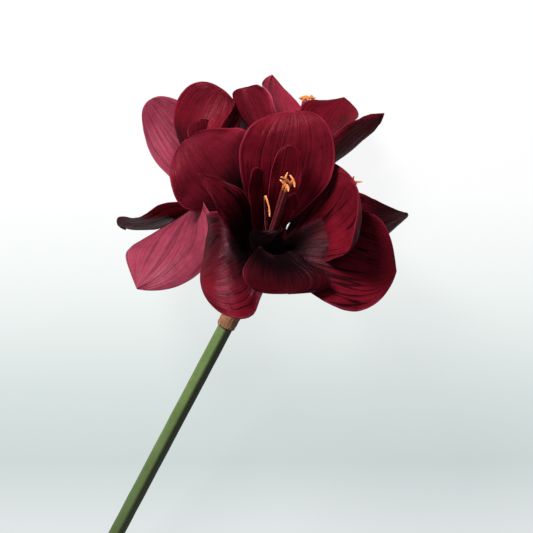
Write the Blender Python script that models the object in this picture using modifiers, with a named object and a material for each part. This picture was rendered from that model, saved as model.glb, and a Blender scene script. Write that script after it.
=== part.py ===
# Amaryllis: a cut scape with four semi-double blooms, lying on its cut end and on two low tepals.
# Lengths are in millimetres here and are scaled to metres where a mesh or an object is made.
# X is right, Y runs along the scape to the head, Z is up; the scape rises from its cut end to the head.

import math

import bmesh
import bpy
import numpy as np
from mathutils import Matrix, Vector

MM = 0.001

SCAPE_LENGTH = 380.0
SCAPE_RADIUS = 7.2
SCAPE_SIDES = 24
SCAPE_SLOPE = 17.0
HEAD_HEIGHT = 118.0
HEAD_TURN = 28.0
CENTRE_X = 28.5
CENTRE_Y = 69.7

SPATHE_RADIUS = 7.8
SPATHE_HEIGHT = 25.0
SPATHE_THICKNESS = 0.8

PEDICEL_OFFSET = 4.3
PEDICEL_START = 1.4
TUBE_SIDES = 10
TUBE_STEPS = 12
MOUTH_GAP = 0.4
MOUTH_DEPTH = 8.0
MOUTH_RADIUS = 10.0

TEPAL_THICKNESS = 0.9
TEPAL_ROWS = 10
TEPAL_COLUMNS = 9
PETALOID_THICKNESS = 0.9
PETALOID_ROWS = 6
PETALOID_COLUMNS = 5
RING_SIDES = 8
FILAMENT_RADIUS = 0.95
FILAMENT_STEPS = 5

# Radius and height at which each whorl begins on the mouth of the floral tube, and half its width there.
WHORLS = {
    "outer": {"radius": 8.8, "rise": 0.0, "claw": 6.5},
    "inner": {"radius": 6.3, "rise": 0.4, "claw": 4.6},
    "petaloid": {"radius": 4.2, "rise": 1.4, "claw": 1.8},
}

# The floral tube with its ovary, from the umbel (0) to the last flare below its mouth (1): share of the
# way, radius.
TUBE_PROFILE = (
    (0.0, 2.8), (0.13, 3.1), (0.33, 3.9), (0.55, 4.2), (0.63, 6.4), (0.72, 7.0), (0.8, 6.0), (0.89, 5.2),
    (1.0, 6.6),
)

# What a tepal is when its own entry says nothing else. Angles are in degrees.
PLAIN_TEPAL = {
    "az": 0.0, "reach": 90.0, "height": 70.0, "rise": 50.0, "lean": 12.0, "tip": 95.0, "pull": 40.0,
    "side": 0.0, "width": 45.0, "widest": 0.62, "blunt": 2.0, "round": 2.0, "wrap": 1.0,
    "curl_left": 0.0, "curl_right": 0.0, "curl_from": 0.6, "twist": 0.0,
    "wave": 2.0, "waves": 2.5, "shift": 0.0, "crease": 0.0, "room": 0.85,
}

# Middle of each floral tube's mouth, its axis, where azimuth 0 points and where its stalk leaves the
# umbel, all seen from above with the head still turned so that the scape leans 28 degrees.
BLOOMS = {
    "front": {"base": (20, 42, 60), "axis": (0.28, 0.36, 0.89), "ref": (1, 0, 0), "out": (0, 0, 1)},
    "left": {"base": (4, 92, -25), "axis": (-0.80, 0.545, -0.25), "ref": (0.56, 0.83, 0), "out": (-1, 0, 0)},
    "back": {"base": (46, 92, -36), "axis": (0.27, 0.94, -0.20), "ref": (-0.95, 0.31, 0), "out": (0, 0, -1)},
    "right": {"base": (60, 40, -8), "axis": (0.76, 0.38, -0.52), "ref": (-0.4, 0.9, 0), "out": (1, 0, 0)},
}

TEPALS = {
    ("front", "top", "outer"): {"az": 84, "reach": 102, "height": 84, "rise": 60, "tip": 95, "width": 46,
        "wrap": 0.35, "room": 0.95, "lean": 24},
    ("front", "right", "inner"): {"az": 27, "reach": 74, "height": 78, "rise": 55, "lean": 16, "tip": 90,
        "pull": 35, "width": 45, "widest": 0.66, "wrap": 0.85, "room": 0.95, "curl_right": 0},
    ("front", "lower_right", "outer"): {"az": -20, "reach": 107, "height": 57, "tip": 105, "pull": 45,
        "width": 47, "lean": 19},
    ("front", "bottom", "inner"): {"az": -82, "reach": 55, "height": 64, "lean": 5, "tip": 80, "pull": 25,
        "width": 50, "wrap": 0.7, "curl_left": -20, "curl_right": -20, "room": 1.2},
    ("front", "lower_left", "outer"): {"az": 224, "reach": 76, "height": 24, "tip": 125, "pull": 45,
        "side": 10, "width": 44, "wrap": 0.5, "curl_left": -15, "widest": 0.52, "room": 0.92},
    ("front", "left", "inner"): {"az": 154, "reach": 84, "height": 48, "lean": 10, "tip": 100, "pull": 35,
        "width": 19.5, "curl_left": 0, "curl_right": -90, "curl_from": 0.3, "side": -4, "blunt": 1.5, "round": 1.3},
    ("left", "top", "inner"): {"az": 12, "reach": 84, "height": 92, "tip": 80, "width": 43, "twist": 98,
        "lean": 4, "rise": 58, "room": 1.15, "round": 2.3},
    ("left", "near", "inner"): {"az": 284, "reach": 56, "height": 62, "rise": 40, "lean": 50, "tip": 15,
        "pull": 30, "width": 58, "widest": 0.5, "wrap": 0.5, "round": 2.3, "room": 1.05},
    ("left", "far", "outer"): {"az": 85, "reach": 57.6, "height": 144, "tip": 40, "width": 32,
        "widest": 0.68, "blunt": 3, "round": 2.2, "room": 0.9, "lean": 28, "rise": 55, "side": -32},
    ("left", "narrow", "inner"): {"az": 157, "reach": 98, "height": 98, "rise": 45, "tip": 70, "pull": 35,
        "width": 15, "twist": 50},
    ("left", "lower", "outer"): {"az": 200, "reach": 119, "height": 18, "rise": 45, "lean": 15, "tip": 110,
        "pull": 45, "width": 45, "twist": -80, "room": 0.62, "round": 2.4},
    ("left", "inward", "outer"): {"az": 359, "reach": 82, "height": 50, "tip": 100, "width": 28, "side": 4,
        "rise": 40, "lean": 20, "pull": 35},
    ("back", "folded", "outer"): {"az": 26, "reach": 76, "height": 93, "tip": 60, "width": 37,
        "round": 2.2, "crease": 4, "blunt": 2.5, "room": 1.15},
    ("back", "pointed", "inner"): {"az": 326, "reach": 60, "height": 134, "lean": 8, "tip": 20,
        "width": 44, "blunt": 1.4, "round": 1.2, "twist": -25},
    ("back", "far_right", "inner"): {"az": 225, "reach": 42, "height": 116, "lean": 8, "tip": 40,
        "width": 39, "twist": 50},
    ("back", "right", "outer"): {"az": 176, "reach": 64, "height": 114, "tip": 45, "width": 26,
        "blunt": 1.5, "round": 1.2},
    ("back", "low", "outer"): {"az": 276, "reach": 58, "height": 88, "tip": 60, "width": 23},
    ("back", "near", "inner"): {"az": 110, "reach": 36, "height": 76, "lean": 18, "tip": 60, "width": 23},
    ("right", "near", "outer"): {"az": 101, "reach": 40, "height": 104, "tip": 40, "width": 28,
        "blunt": 1.3, "round": 1.1, "lean": 16},
    ("right", "upper_near", "inner"): {"az": 56, "reach": 26, "height": 92, "lean": 14, "tip": 35,
        "width": 27, "blunt": 1.5, "round": 1.2, "pull": 32},
    ("right", "upper_far", "outer"): {"az": 331, "reach": 70, "height": 60, "tip": 100, "width": 28},
    ("right", "far", "inner"): {"az": 290, "reach": 64, "height": 70, "lean": 8, "tip": 90, "width": 32},
    ("right", "low", "outer"): {"az": 240, "reach": 95.7, "height": 70, "tip": 90, "width": 34},
    ("right", "lower_near", "inner"): {"az": 172, "reach": 34, "height": 72, "lean": 14, "tip": 60,
        "width": 24, "side": 10, "wrap": 0.8},
}

# Strap-like petaloids that stand inside the tepals, joined at the roots by a thin ring.
PLAIN_PETALOID = dict(
    PLAIN_TEPAL, rise=24.0, lean=4.0, tip=20.0, pull=18.0, wrap=0.7, wave=1.4, waves=3.5, width=5.0,
    widest=0.7,
)

PETALOIDS = {
    "front": (
        {"az": 92, "reach": 60, "height": 99, "rise": 36, "tip": 45, "width": 14},
        {"az": 122, "reach": 42, "height": 74, "rise": 32, "tip": 40, "width": 7},
        {"az": 58, "reach": 38, "height": 72, "rise": 34, "tip": 30, "width": 7},
        {"az": 38, "reach": 30, "height": 78, "rise": 38, "tip": 35, "width": 7},
        {"az": 215, "reach": 11, "height": 50, "width": 9},
    ),
    "left": (
        {"az": 354, "reach": 36, "height": 84, "rise": 38, "tip": 40, "width": 5, "lean": 4},
        {"az": 58, "reach": 14, "height": 58, "rise": 38, "tip": 40, "width": 7},
        {"az": 100, "reach": 11, "height": 54},
        {"az": 160, "reach": 11, "height": 48},
        {"az": 232, "reach": 10, "height": 40},
    ),
    "back": (
        {"az": 15, "reach": 11, "height": 50},
        {"az": 135, "reach": 10, "height": 46, "width": 5},
        {"az": 185, "reach": 11, "height": 52},
        {"az": 296, "reach": 11, "height": 34},
        {"az": 338, "reach": 11, "height": 50},
    ),
    "right": (
        {"az": 45, "reach": 10, "height": 30, "width": 4},
        {"az": 125, "reach": 8, "height": 30, "width": 4},
        {"az": 206, "reach": 8, "height": 32, "width": 4},
        {"az": 250, "reach": 11, "height": 50},
        {"az": 290, "reach": 11, "height": 38, "width": 4},
    ),
}

# The six filaments lean together to one side of the throat and part a little; the anthers turn on their tips.
STAMENS = {
    "front": {"az": 90, "reach": 31, "height": 84, "spread": 4, "scatter": 3, "seed": 4, "anther": 5.5},
    "left": {"az": 312, "reach": 32, "height": 66, "spread": 4, "scatter": 3, "seed": 7, "anther": 5.5},
    "back": {"az": 62, "reach": 20, "height": 102, "spread": 5, "scatter": 3, "seed": 2, "anther": 5.0},
    "right": {"az": 352, "reach": 44, "height": 92, "spread": 4, "scatter": 3, "seed": 5, "anther": 5.5},
}

MATERIALS = {
    "scape_green": ((0.14, 0.20, 0.075), 0.5),
    "spathe_brown": ((0.33, 0.13, 0.065), 0.75),
    "tube_green": ((0.11, 0.13, 0.045), 0.5),
    "tepal_wine": ((0.13, 0.010, 0.020), 0.5),
    "petaloid_wine": ((0.15, 0.008, 0.016), 0.5),
    "stamen_red": ((0.20, 0.012, 0.016), 0.45),
}


def start_clean():
    for old in list(bpy.data.objects):
        bpy.data.objects.remove(old)
    found = {}
    for title in ("amaryllis", "joined_pieces"):
        found[title] = bpy.data.collections.new(title)
        bpy.context.scene.collection.children.link(found[title])
    found["joined_pieces"].hide_render = True
    return found


def make_materials():
    made = {}
    for title, (colour, roughness) in MATERIALS.items():
        material = bpy.data.materials.new(title)
        material.use_nodes = True
        shader = material.node_tree.nodes["Principled BSDF"]
        shader.inputs["Base Color"].default_value = (*colour, 1.0)
        shader.inputs["Roughness"].default_value = roughness
        shader.inputs["Metallic"].default_value = 0.0
        made[title] = material
    return made


def ease(x):
    x = np.clip(x, 0.0, 1.0)
    return x * x * (3.0 - 2.0 * x)


def bezier(points, t):
    t = np.asarray(t, float)[:, None]
    a, b, c, d = (np.asarray(point, float) for point in points)
    return (1 - t) ** 3 * a + 3 * (1 - t) ** 2 * t * b + 3 * (1 - t) * t**2 * c + t**3 * d


def unit(vector):
    vector = np.asarray(vector, float)
    return vector / np.linalg.norm(vector)


# Rows are even up to the widest place, then even in angle round the end.
def row_steps(shape, rows):
    low = round(rows * 0.55)
    end = np.sin(np.linspace(0, math.pi / 2, rows - low))
    return np.concatenate([
        np.linspace(0, shape["widest"], low, endpoint=False),
        shape["widest"] + (1 - shape["widest"]) * end,
    ])


# Half the blade's width; it keeps within the blade's share of the throat at this radius, so that
# neighbours clear each other.
def half_width(shape, claw, radius, t):
    low = claw + (shape["width"] - claw) * np.sin(math.pi / 2 * np.clip(t / shape["widest"], 0, 1)) ** 1.8
    along = np.clip((t - shape["widest"]) / (1 - shape["widest"]), 0, 1)
    high = shape["width"] * np.clip(1 - along ** shape["blunt"], 0, 1) ** (1 / shape["round"])
    free = np.where(t < shape["widest"], low, high)
    most = shape["room"] * np.maximum(radius, 1.0)
    return free / (1 + (free / most) ** 6) ** (1 / 6)


# The midrib lies in the plane of the bloom's axis and the azimuth, but for a sway to the side.
def midrib(shape, whorl, t):
    turn, lean, tip = (math.radians(shape[key]) for key in ("az", "lean", "tip"))
    outward = np.array([math.cos(turn), math.sin(turn), 0.0])
    sideways = np.array([-math.sin(turn), math.cos(turn), 0.0])
    start = np.array([whorl["radius"], whorl["rise"]])
    end = np.array([shape["reach"], shape["height"]])
    curve = bezier((
        start,
        start + shape["rise"] * np.array([math.sin(lean), math.cos(lean)]),
        end - shape["pull"] * np.array([math.sin(tip), math.cos(tip)]),
        end,
    ), t)
    points = curve[:, :1] * outward + shape["side"] * t[:, None] ** 2 * sideways
    points[:, 2] += curve[:, 1]
    return points, curve[:, 0], sideways


# Points of a tepal's middle surface, in rows from the claw to the tip and in columns from edge to edge.
def tepal_points(shape, whorl, rows, columns):
    t = row_steps(shape, rows)
    centre, radius, sideways = midrib(shape, whorl, t)
    step = 0.001
    ahead = midrib(shape, whorl, np.clip(t + step, 0, 1))[0]
    behind = midrib(shape, whorl, np.clip(t - step, 0, 1))[0]
    along = ahead - behind
    along /= np.linalg.norm(along, axis=1)[:, None]
    across = sideways - (along @ sideways)[:, None] * along
    across /= np.linalg.norm(across, axis=1)[:, None]
    inward = np.cross(along, across)
    turn = np.radians(shape["twist"]) * t[:, None] ** 1.5
    across, inward = (
        np.cos(turn) * across + np.sin(turn) * inward,
        np.cos(turn) * inward - np.sin(turn) * across,
    )
    half = half_width(shape, whorl["claw"], radius, t)
    natural = half * along[:, 2] / np.maximum(radius, 3.0) * shape["wrap"]
    curling = ease((t - 0.3) / 0.25)
    fine = np.linspace(0, 1, 25)
    columns = np.linspace(-1, 1, columns)
    points = np.zeros((len(t), len(columns), 3))
    for row in range(len(t)):
        for column, u in enumerate(columns):
            curl = shape["curl_left"] if u < 0 else shape["curl_right"]
            bend = natural[row] * fine + math.radians(curl) * curling[row] * ease(
                (fine - shape["curl_from"]) / (1 - shape["curl_from"])
            )
            flat = np.concatenate([[0], np.cumsum(np.cos(bend[1:]) + np.cos(bend[:-1]))]) / 48
            deep = np.concatenate([[0], np.cumsum(np.sin(bend[1:]) + np.sin(bend[:-1]))]) / 48
            x = math.copysign(np.interp(abs(u), fine, flat), u)
            y = np.interp(abs(u), fine, deep)
            phase = shape["waves"] * t[row] + shape["shift"] + (0.37 if u > 0 else 0)
            ripple = ease((t[row] - 0.25) / 0.4) * abs(u) ** 2.5 * math.sin(math.tau * phase)
            fold = ease(t[row] / 0.4) * (1 - ease((t[row] - 0.75) / 0.25))
            crease = shape["crease"] * math.exp(-((u / 0.16) ** 2)) * fold
            depth = half[row] * y + shape["wave"] * ripple - crease
            points[row, column] = centre[row] + across[row] * half[row] * x + inward[row] * depth
    return points


def new_object(title, mesh, collection, material=None, parent=None):
    made = bpy.data.objects.new(title, mesh)
    collection.objects.link(made)
    if material:
        mesh.materials.append(material)
    made.parent = parent
    return made


# A blade: the rows and columns of points as a sheet in triangles, thickened alike to both sides.
def blade(title, points, thickness, collection, material, parent):
    rows, columns = points.shape[:2]
    sheet = bmesh.new()
    bmesh.ops.create_grid(sheet, x_segments=columns - 1, y_segments=rows - 1, size=0.5)
    sheet.verts.ensure_lookup_table()
    for index, vertex in enumerate(sheet.verts):
        vertex.co = Vector(points[index // columns, index % columns]) * MM
    bmesh.ops.triangulate(sheet, faces=sheet.faces[:], quad_method="FIXED")
    bmesh.ops.remove_doubles(sheet, verts=sheet.verts[:], dist=0.00002)
    mesh = bpy.data.meshes.new(title)
    sheet.to_mesh(mesh)
    sheet.free()
    made = new_object(title, mesh, collection, material, parent)
    thick = made.modifiers.new("thickness", "SOLIDIFY")
    thick.thickness = thickness * MM
    thick.offset = 0.0
    return made


# A round rod through the points, its radius given at each.
def rod(title, points, radii, sides, collection, material, parent):
    curve = bpy.data.curves.new(title, "CURVE")
    curve.dimensions = "3D"
    curve.bevel_depth = MM
    curve.bevel_resolution = sides // 2 - 2
    curve.use_fill_caps = True
    line = curve.splines.new("POLY")
    line.points.add(len(points) - 1)
    for spot, place, radius in zip(line.points, points, radii):
        spot.co = (*(np.asarray(place, float) * MM), 1.0)
        spot.radius = radius
    return new_object(title, curve, collection, material, parent)


# The mesh that an object's curve and modifiers make, closed and with its faces outward.
def solid_mesh(thing):
    bpy.context.view_layer.update()
    graph = bpy.context.evaluated_depsgraph_get()
    mesh = bpy.data.meshes.new_from_object(thing.evaluated_get(graph))
    shape = bmesh.new()
    shape.from_mesh(mesh)
    bmesh.ops.remove_doubles(shape, verts=shape.verts[:], dist=0.000001)
    bmesh.ops.recalc_face_normals(shape, faces=shape.faces[:])
    shape.to_mesh(mesh)
    shape.free()
    return mesh


# Joins the pieces to the first one in a single union, keeps its outer skin, and removes the pieces.
def join(title, first, others, collections, material, parent):
    root = new_object(title, solid_mesh(first), collections["amaryllis"], material, parent)
    root.data.materials.clear()
    root.data.materials.append(material)
    pieces = []
    for other in others:
        solid = solid_mesh(other)
        pieces.append(new_object(other.name + "_solid", solid, collections["joined_pieces"], None, parent))
    union = root.modifiers.new("union", "BOOLEAN")
    union.operation = "UNION"
    union.operand_type = "COLLECTION"
    union.collection = collections["joined_pieces"]
    union.solver = "EXACT"
    for source in [first, *others]:
        bpy.data.objects.remove(source)
    joined = solid_mesh(root)
    root.modifiers.clear()
    root.data = joined
    for piece in pieces:
        bpy.data.objects.remove(piece)
    keep_largest(root.data)
    return root


def islands(shape):
    left = set(shape.verts)
    found = []
    while left:
        group = set()
        edge = [left.pop()]
        while edge:
            vertex = edge.pop()
            group.add(vertex)
            for link in vertex.link_edges:
                other = link.other_vert(vertex)
                if other in left:
                    left.discard(other)
                    edge.append(other)
        found.append(group)
    return found


def keep_largest(mesh):
    shape = bmesh.new()
    shape.from_mesh(mesh)
    groups = islands(shape)
    largest = max(groups, key=len)
    for group in groups:
        if group is not largest:
            bmesh.ops.delete(shape, geom=list(group), context="VERTS")
    shape.to_mesh(mesh)
    shape.free()


# The way from the cut end to the umbel.
def scape_way():
    slope = math.radians(SCAPE_SLOPE)
    turn = math.radians(HEAD_TURN)
    level = math.cos(slope)
    return np.array([math.sin(turn) * level, math.cos(turn) * level, math.sin(slope)])


def empty(title, matrix, collection, parent=None):
    made = bpy.data.objects.new(title, None)
    collection.objects.link(made)
    made.empty_display_size = 0.02
    made.parent = parent
    made.matrix_local = matrix
    return made


def bloom_matrix(bloom):
    axis = Vector(bloom["axis"]).normalized()
    first = Vector(bloom["ref"])
    first = (first - axis * first.dot(axis)).normalized()
    second = axis.cross(first)
    matrix = Matrix((first, second, axis)).transposed().to_4x4()
    matrix.translation = Vector(bloom["base"]) * MM
    return matrix


def build_scape(collections, materials, head):
    along = scape_way()
    rod(
        "scape", [-along * SCAPE_LENGTH, -along * 0.4], [SCAPE_RADIUS, SCAPE_RADIUS * 0.97], SCAPE_SIDES,
        collections["amaryllis"], materials["scape_green"], head,
    )


# A dry, wrinkled sleeve round the top of the scape, ragged at its upper edge.
def build_spathe(collections, materials, head):
    along = scape_way()
    first = unit(np.cross(along, (0, 0, 1)))
    second = np.cross(first, along)
    rings, sides = 4, 20
    shape = bmesh.new()
    grid = []
    for ring in range(rings):
        share = ring / (rings - 1)
        row = []
        for side in range(sides):
            angle = math.tau * side / sides
            ragged = 2.4 * share**3 * (math.sin(3 * angle + 0.6) + 0.5 * math.sin(7 * angle))
            drop = -SPATHE_HEIGHT + (SPATHE_HEIGHT + 1.0) * share + ragged
            wrinkle = 0.35 + 0.35 * math.sin(5 * angle + 4 * share) * math.sin(math.pi * share)
            flare = 0.9 * share**2
            radius = SPATHE_RADIUS + wrinkle + flare
            place = along * drop + radius * (math.cos(angle) * first + math.sin(angle) * second)
            row.append(shape.verts.new(Vector(place) * MM))
        grid.append(row)
    for low, high in zip(grid, grid[1:]):
        for side in range(sides):
            after = (side + 1) % sides
            shape.faces.new((low[side], low[after], high[after], high[side]))
    bmesh.ops.triangulate(shape, faces=shape.faces[:], quad_method="FIXED")
    mesh = bpy.data.meshes.new("spathe")
    shape.to_mesh(mesh)
    shape.free()
    made = new_object("spathe", mesh, collections["amaryllis"], materials["spathe_brown"], head)
    thick = made.modifiers.new("thickness", "SOLIDIFY")
    thick.thickness = SPATHE_THICKNESS * MM
    thick.offset = -1.0


# Stalk, ovary and floral tube in one, from the umbel to the mouth where the tepals begin.
def build_tube(name, bloom, collections, materials, head):
    along = scape_way()
    outward = np.asarray(bloom["out"], float)
    outward = unit(outward - along * (along @ outward))
    axis = unit(bloom["axis"])
    base = np.asarray(bloom["base"], float)
    start = outward * PEDICEL_OFFSET + along * PEDICEL_START
    ends = (start, start + 28 * (along + 0.45 * outward), base - axis * 46, base - axis * MOUTH_DEPTH)
    share = np.linspace(0, 1, TUBE_STEPS)
    path = np.vstack([bezier(ends, share), base - axis * MOUTH_GAP])
    radii = [*np.interp(share, *zip(*TUBE_PROFILE)), MOUTH_RADIUS]
    rod(
        name + "_tube", path, radii, TUBE_SIDES,
        collections["amaryllis"], materials["tube_green"], head,
    )


# The petaloids of one bloom and the ring at their roots, as one body.
def build_petaloids(name, collections, materials, parent):
    whorl = WHORLS["petaloid"]
    ring_points = []
    for side in range(RING_SIDES):
        angle = math.tau * side / RING_SIDES
        ring_points.append((whorl["radius"] * math.cos(angle), whorl["radius"] * math.sin(angle), 1.4))
    ring = rod(
        name + "_ring", ring_points, [0.7] * RING_SIDES, 4, collections["joined_pieces"], None, parent,
    )
    ring.data.splines[0].use_cyclic_u = True
    pieces = []
    for number, entry in enumerate(PETALOIDS[name]):
        shape = dict(PLAIN_PETALOID, **entry)
        points = tepal_points(shape, whorl, PETALOID_ROWS, PETALOID_COLUMNS)
        pieces.append(blade(
            f"{name}_petaloid_{number}", points, PETALOID_THICKNESS, collections["joined_pieces"], None, parent,
        ))
    join(name + "_petaloids", ring, pieces, collections, materials["petaloid_wine"], parent)


# The filaments and anthers of one bloom on their disc, as one body.
def build_stamens(name, collections, materials, parent):
    plan = STAMENS[name]
    chance = np.random.default_rng(plan["seed"])
    disc = rod(
        name + "_disc", [(0, 0, 0.2), (0, 0, 1.8)], [3.1, 2.8], 10, collections["joined_pieces"], None, parent,
    )
    pieces = []
    count = 6
    for number in range(count):
        around = math.tau * (number + 0.5) / count
        parting = np.array([math.cos(around), math.sin(around), 0.0])
        turn = math.radians(plan["az"])
        root = 1.95 * parting + (0, 0, 1.0)
        tip = np.array([plan["reach"] * math.cos(turn), plan["reach"] * math.sin(turn), plan["height"]])
        tip += plan["spread"] * parting + plan["scatter"] * chance.uniform(-1, 1, size=3) * (0.4, 0.4, 1.0)
        ends = (root, root + (0, 0, tip[2] * 0.45), tip - tip * (0.45, 0.45, 0.35), tip)
        path = bezier(ends, np.linspace(0, 1, FILAMENT_STEPS))
        pieces.append(rod(
            f"{name}_filament_{number}", path, [FILAMENT_RADIUS] * (FILAMENT_STEPS - 1) + [0.7], 6,
            collections["joined_pieces"], None, parent,
        ))
        way = unit(chance.normal(size=3) * (1.0, 1.0, 0.6))
        length = plan["anther"] * chance.uniform(0.85, 1.25)
        bent = np.array([-way[1], way[0], 0.0]) * 1.5
        half = way * length
        ends = (tip - half, tip - 0.3 * half + bent, tip + 0.3 * half + bent, tip + half)
        pieces.append(rod(
            f"{name}_anther_{number}", bezier(ends, np.linspace(0, 1, 4)), [0.7, 1.5, 1.5, 0.7], 6,
            collections["joined_pieces"], None, parent,
        ))
    join(name + "_stamens", disc, pieces, collections, materials["stamen_red"], parent)


def main():
    collections = start_clean()
    materials = make_materials()
    turn = Matrix.Rotation(math.radians(HEAD_TURN), 4, "Z")
    place = Matrix.Translation(Vector((CENTRE_X, CENTRE_Y, HEAD_HEIGHT)) * MM)
    head = empty("head", place @ turn, collections["amaryllis"])
    build_scape(collections, materials, head)
    build_spathe(collections, materials, head)
    for name, bloom in BLOOMS.items():
        parent = empty(name + "_bloom", bloom_matrix(bloom), collections["amaryllis"], head)
        build_tube(name, bloom, collections, materials, head)
        build_petaloids(name, collections, materials, parent)
        build_stamens(name, collections, materials, parent)
        for (owner, part, whorl), entry in TEPALS.items():
            if owner != name:
                continue
            shape = dict(PLAIN_TEPAL, **entry)
            points = tepal_points(shape, WHORLS[whorl], TEPAL_ROWS, TEPAL_COLUMNS)
            blade(
                f"{name}_tepal_{part}", points, TEPAL_THICKNESS,
                collections["amaryllis"], materials["tepal_wine"], parent,
            )


main()
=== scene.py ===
# Amaryllis: the looks of a cut scape with four wine-red blooms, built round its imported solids.
# Shapes are worked out in millimetres and placed in metres.

import math

import bpy
import numpy as np
from mathutils import Matrix, Vector


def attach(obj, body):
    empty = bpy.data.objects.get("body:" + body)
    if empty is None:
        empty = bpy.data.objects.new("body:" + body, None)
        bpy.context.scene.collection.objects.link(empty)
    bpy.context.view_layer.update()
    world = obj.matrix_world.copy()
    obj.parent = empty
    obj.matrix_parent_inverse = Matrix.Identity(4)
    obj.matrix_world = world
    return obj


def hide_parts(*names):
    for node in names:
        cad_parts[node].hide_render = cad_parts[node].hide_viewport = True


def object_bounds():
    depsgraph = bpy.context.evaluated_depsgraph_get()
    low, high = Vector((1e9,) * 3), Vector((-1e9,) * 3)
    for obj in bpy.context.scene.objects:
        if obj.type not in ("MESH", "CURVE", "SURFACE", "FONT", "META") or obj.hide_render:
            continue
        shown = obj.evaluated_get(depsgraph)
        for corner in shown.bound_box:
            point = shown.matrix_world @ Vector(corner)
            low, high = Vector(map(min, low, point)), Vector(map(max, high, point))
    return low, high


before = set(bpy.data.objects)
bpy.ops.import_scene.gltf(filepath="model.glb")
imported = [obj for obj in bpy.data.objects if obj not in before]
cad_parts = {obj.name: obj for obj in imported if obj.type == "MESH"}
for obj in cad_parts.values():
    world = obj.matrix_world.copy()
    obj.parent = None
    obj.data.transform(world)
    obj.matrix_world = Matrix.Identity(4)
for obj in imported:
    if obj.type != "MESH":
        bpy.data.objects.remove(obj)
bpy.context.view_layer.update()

# The head stands on the umbel, turned so that the scape leans as it does in the photo.
head = {"centre": (28.5, 69.7, 118.0), "turn": 28.0}

# Each bloom's mouth, its axis, the way that azimuth 0 points, the way its stalk leaves the umbel, and how far
# open the throat is to the light: the more, the smaller the painted shade in its throat.
blooms = {
    "front": {
        "base": (20, 42, 60), "axis": (0.28, 0.36, 0.89), "ref": (1, 0, 0), "out": (0, 0, 1), "openness": 1.0,
    },
    "left": {
        "base": (4, 92, -25), "axis": (-0.80, 0.545, -0.25), "ref": (0.56, 0.83, 0), "out": (-1, 0, 0),
        "openness": 1.5,
    },
    "back": {
        "base": (46, 92, -36), "axis": (0.27, 0.94, -0.20), "ref": (-0.95, 0.31, 0), "out": (0, 0, -1),
        "openness": 2.4,
    },
    "right": {
        "base": (60, 40, -8), "axis": (0.76, 0.38, -0.52), "ref": (-0.4, 0.9, 0), "out": (1, 0, 0),
        "openness": 1.5,
    },
}


def toMetres(matrix):
    return Matrix.Scale(0.001, 4) @ matrix


def headMatrix():
    return Matrix.Translation(head["centre"]) @ Matrix.Rotation(math.radians(head["turn"]), 4, "Z")


# From a frame along the axis, whose X points near the second direction, to the frame it stands in.
def axisMatrix(axis, sideways, base):
    third = Vector(axis).normalized()
    first = Vector(sideways)
    first = (first - third * first.dot(third)).normalized()
    matrix = Matrix((first, third.cross(first), third)).transposed().to_4x4()
    matrix.translation = Vector(base)
    return matrix


def bloomMatrix(name):
    bloom = blooms[name]
    return toMetres(headMatrix() @ axisMatrix(bloom["axis"], bloom["ref"], bloom["base"]))


# Node trees

# An output socket that sums can be written with: each sign places the node that works it out.
class Wire:
    def __init__(self, tree, socket):
        self.tree = tree
        self.socket = socket

    def __add__(self, other):
        return mathNode("ADD", self, other)

    def __radd__(self, other):
        return mathNode("ADD", other, self)

    def __sub__(self, other):
        return mathNode("SUBTRACT", self, other)

    def __rsub__(self, other):
        return mathNode("SUBTRACT", other, self)

    def __mul__(self, other):
        return mathNode("MULTIPLY", self, other)

    def __rmul__(self, other):
        return mathNode("MULTIPLY", self, other)

    def __truediv__(self, other):
        return mathNode("DIVIDE", self, other)

    def __rtruediv__(self, other):
        return mathNode("DIVIDE", other, self)

    def __pow__(self, other):
        return mathNode("POWER", self, other)


def feed(tree, value, socket):
    if isinstance(value, Wire):
        tree.links.new(value.socket, socket)
    else:
        socket.default_value = value


def mathNode(operation, *values):
    tree = next(value.tree for value in values if isinstance(value, Wire))
    vectors = [value for value in values if isinstance(value, Wire) and value.socket.type == "VECTOR"]
    if len(vectors) == 1 and operation == "MULTIPLY":
        number = next(value for value in values if value is not vectors[0])
        feeds = {"Vector": vectors[0], "Scale": number}
        return placeNode(tree, "ShaderNodeVectorMath", feeds, operation="SCALE")
    node = tree.nodes.new("ShaderNodeVectorMath" if vectors else "ShaderNodeMath")
    node.operation = operation
    for value, socket in zip(values, node.inputs):
        feed(tree, value, socket)
    givesNumber = operation == "DOT_PRODUCT" or not vectors
    return Wire(tree, node.outputs["Value" if givesNumber else "Vector"])


# Places a node, feeds its inputs by name or by number, and gives its first output or the named one.
def placeNode(tree, kind, feeds=None, output=0, **settings):
    node = tree.nodes.new(kind)
    for key, value in settings.items():
        setattr(node, key, value)
    for name, value in (feeds or {}).items():
        feed(tree, value, node.inputs[name])
    return Wire(tree, node.outputs[output]) if node.outputs else node


def sine(value):
    return mathNode("SINE", value)


def cosine(value):
    return mathNode("COSINE", value)


def size(value):
    return mathNode("ABSOLUTE", value)


def root(value):
    return mathNode("SQRT", value)


def larger(first, second):
    return mathNode("MAXIMUM", first, second)


def smaller(first, second):
    return mathNode("MINIMUM", first, second)


# Rises smoothly from 0 to 1 as the value goes from start to end.
def rising(value, start, end):
    feeds = {"Value": value, "From Min": start, "From Max": end}
    return placeNode(value.tree, "ShaderNodeMapRange", feeds, interpolation_type="SMOOTHSTEP")


def vector(tree, x, y, z):
    return placeNode(tree, "ShaderNodeCombineXYZ", {"X": x, "Y": y, "Z": z})


# A place on a ring, with its angle in turns.
def onRing(tree, turns, radius, z):
    return vector(tree, cosine(turns * math.tau) * radius, sine(turns * math.tau) * radius, z)


def parts(value):
    node = value.tree.nodes.new("ShaderNodeSeparateXYZ")
    feed(value.tree, value, node.inputs[0])
    return [Wire(value.tree, socket) for socket in node.outputs]


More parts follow.
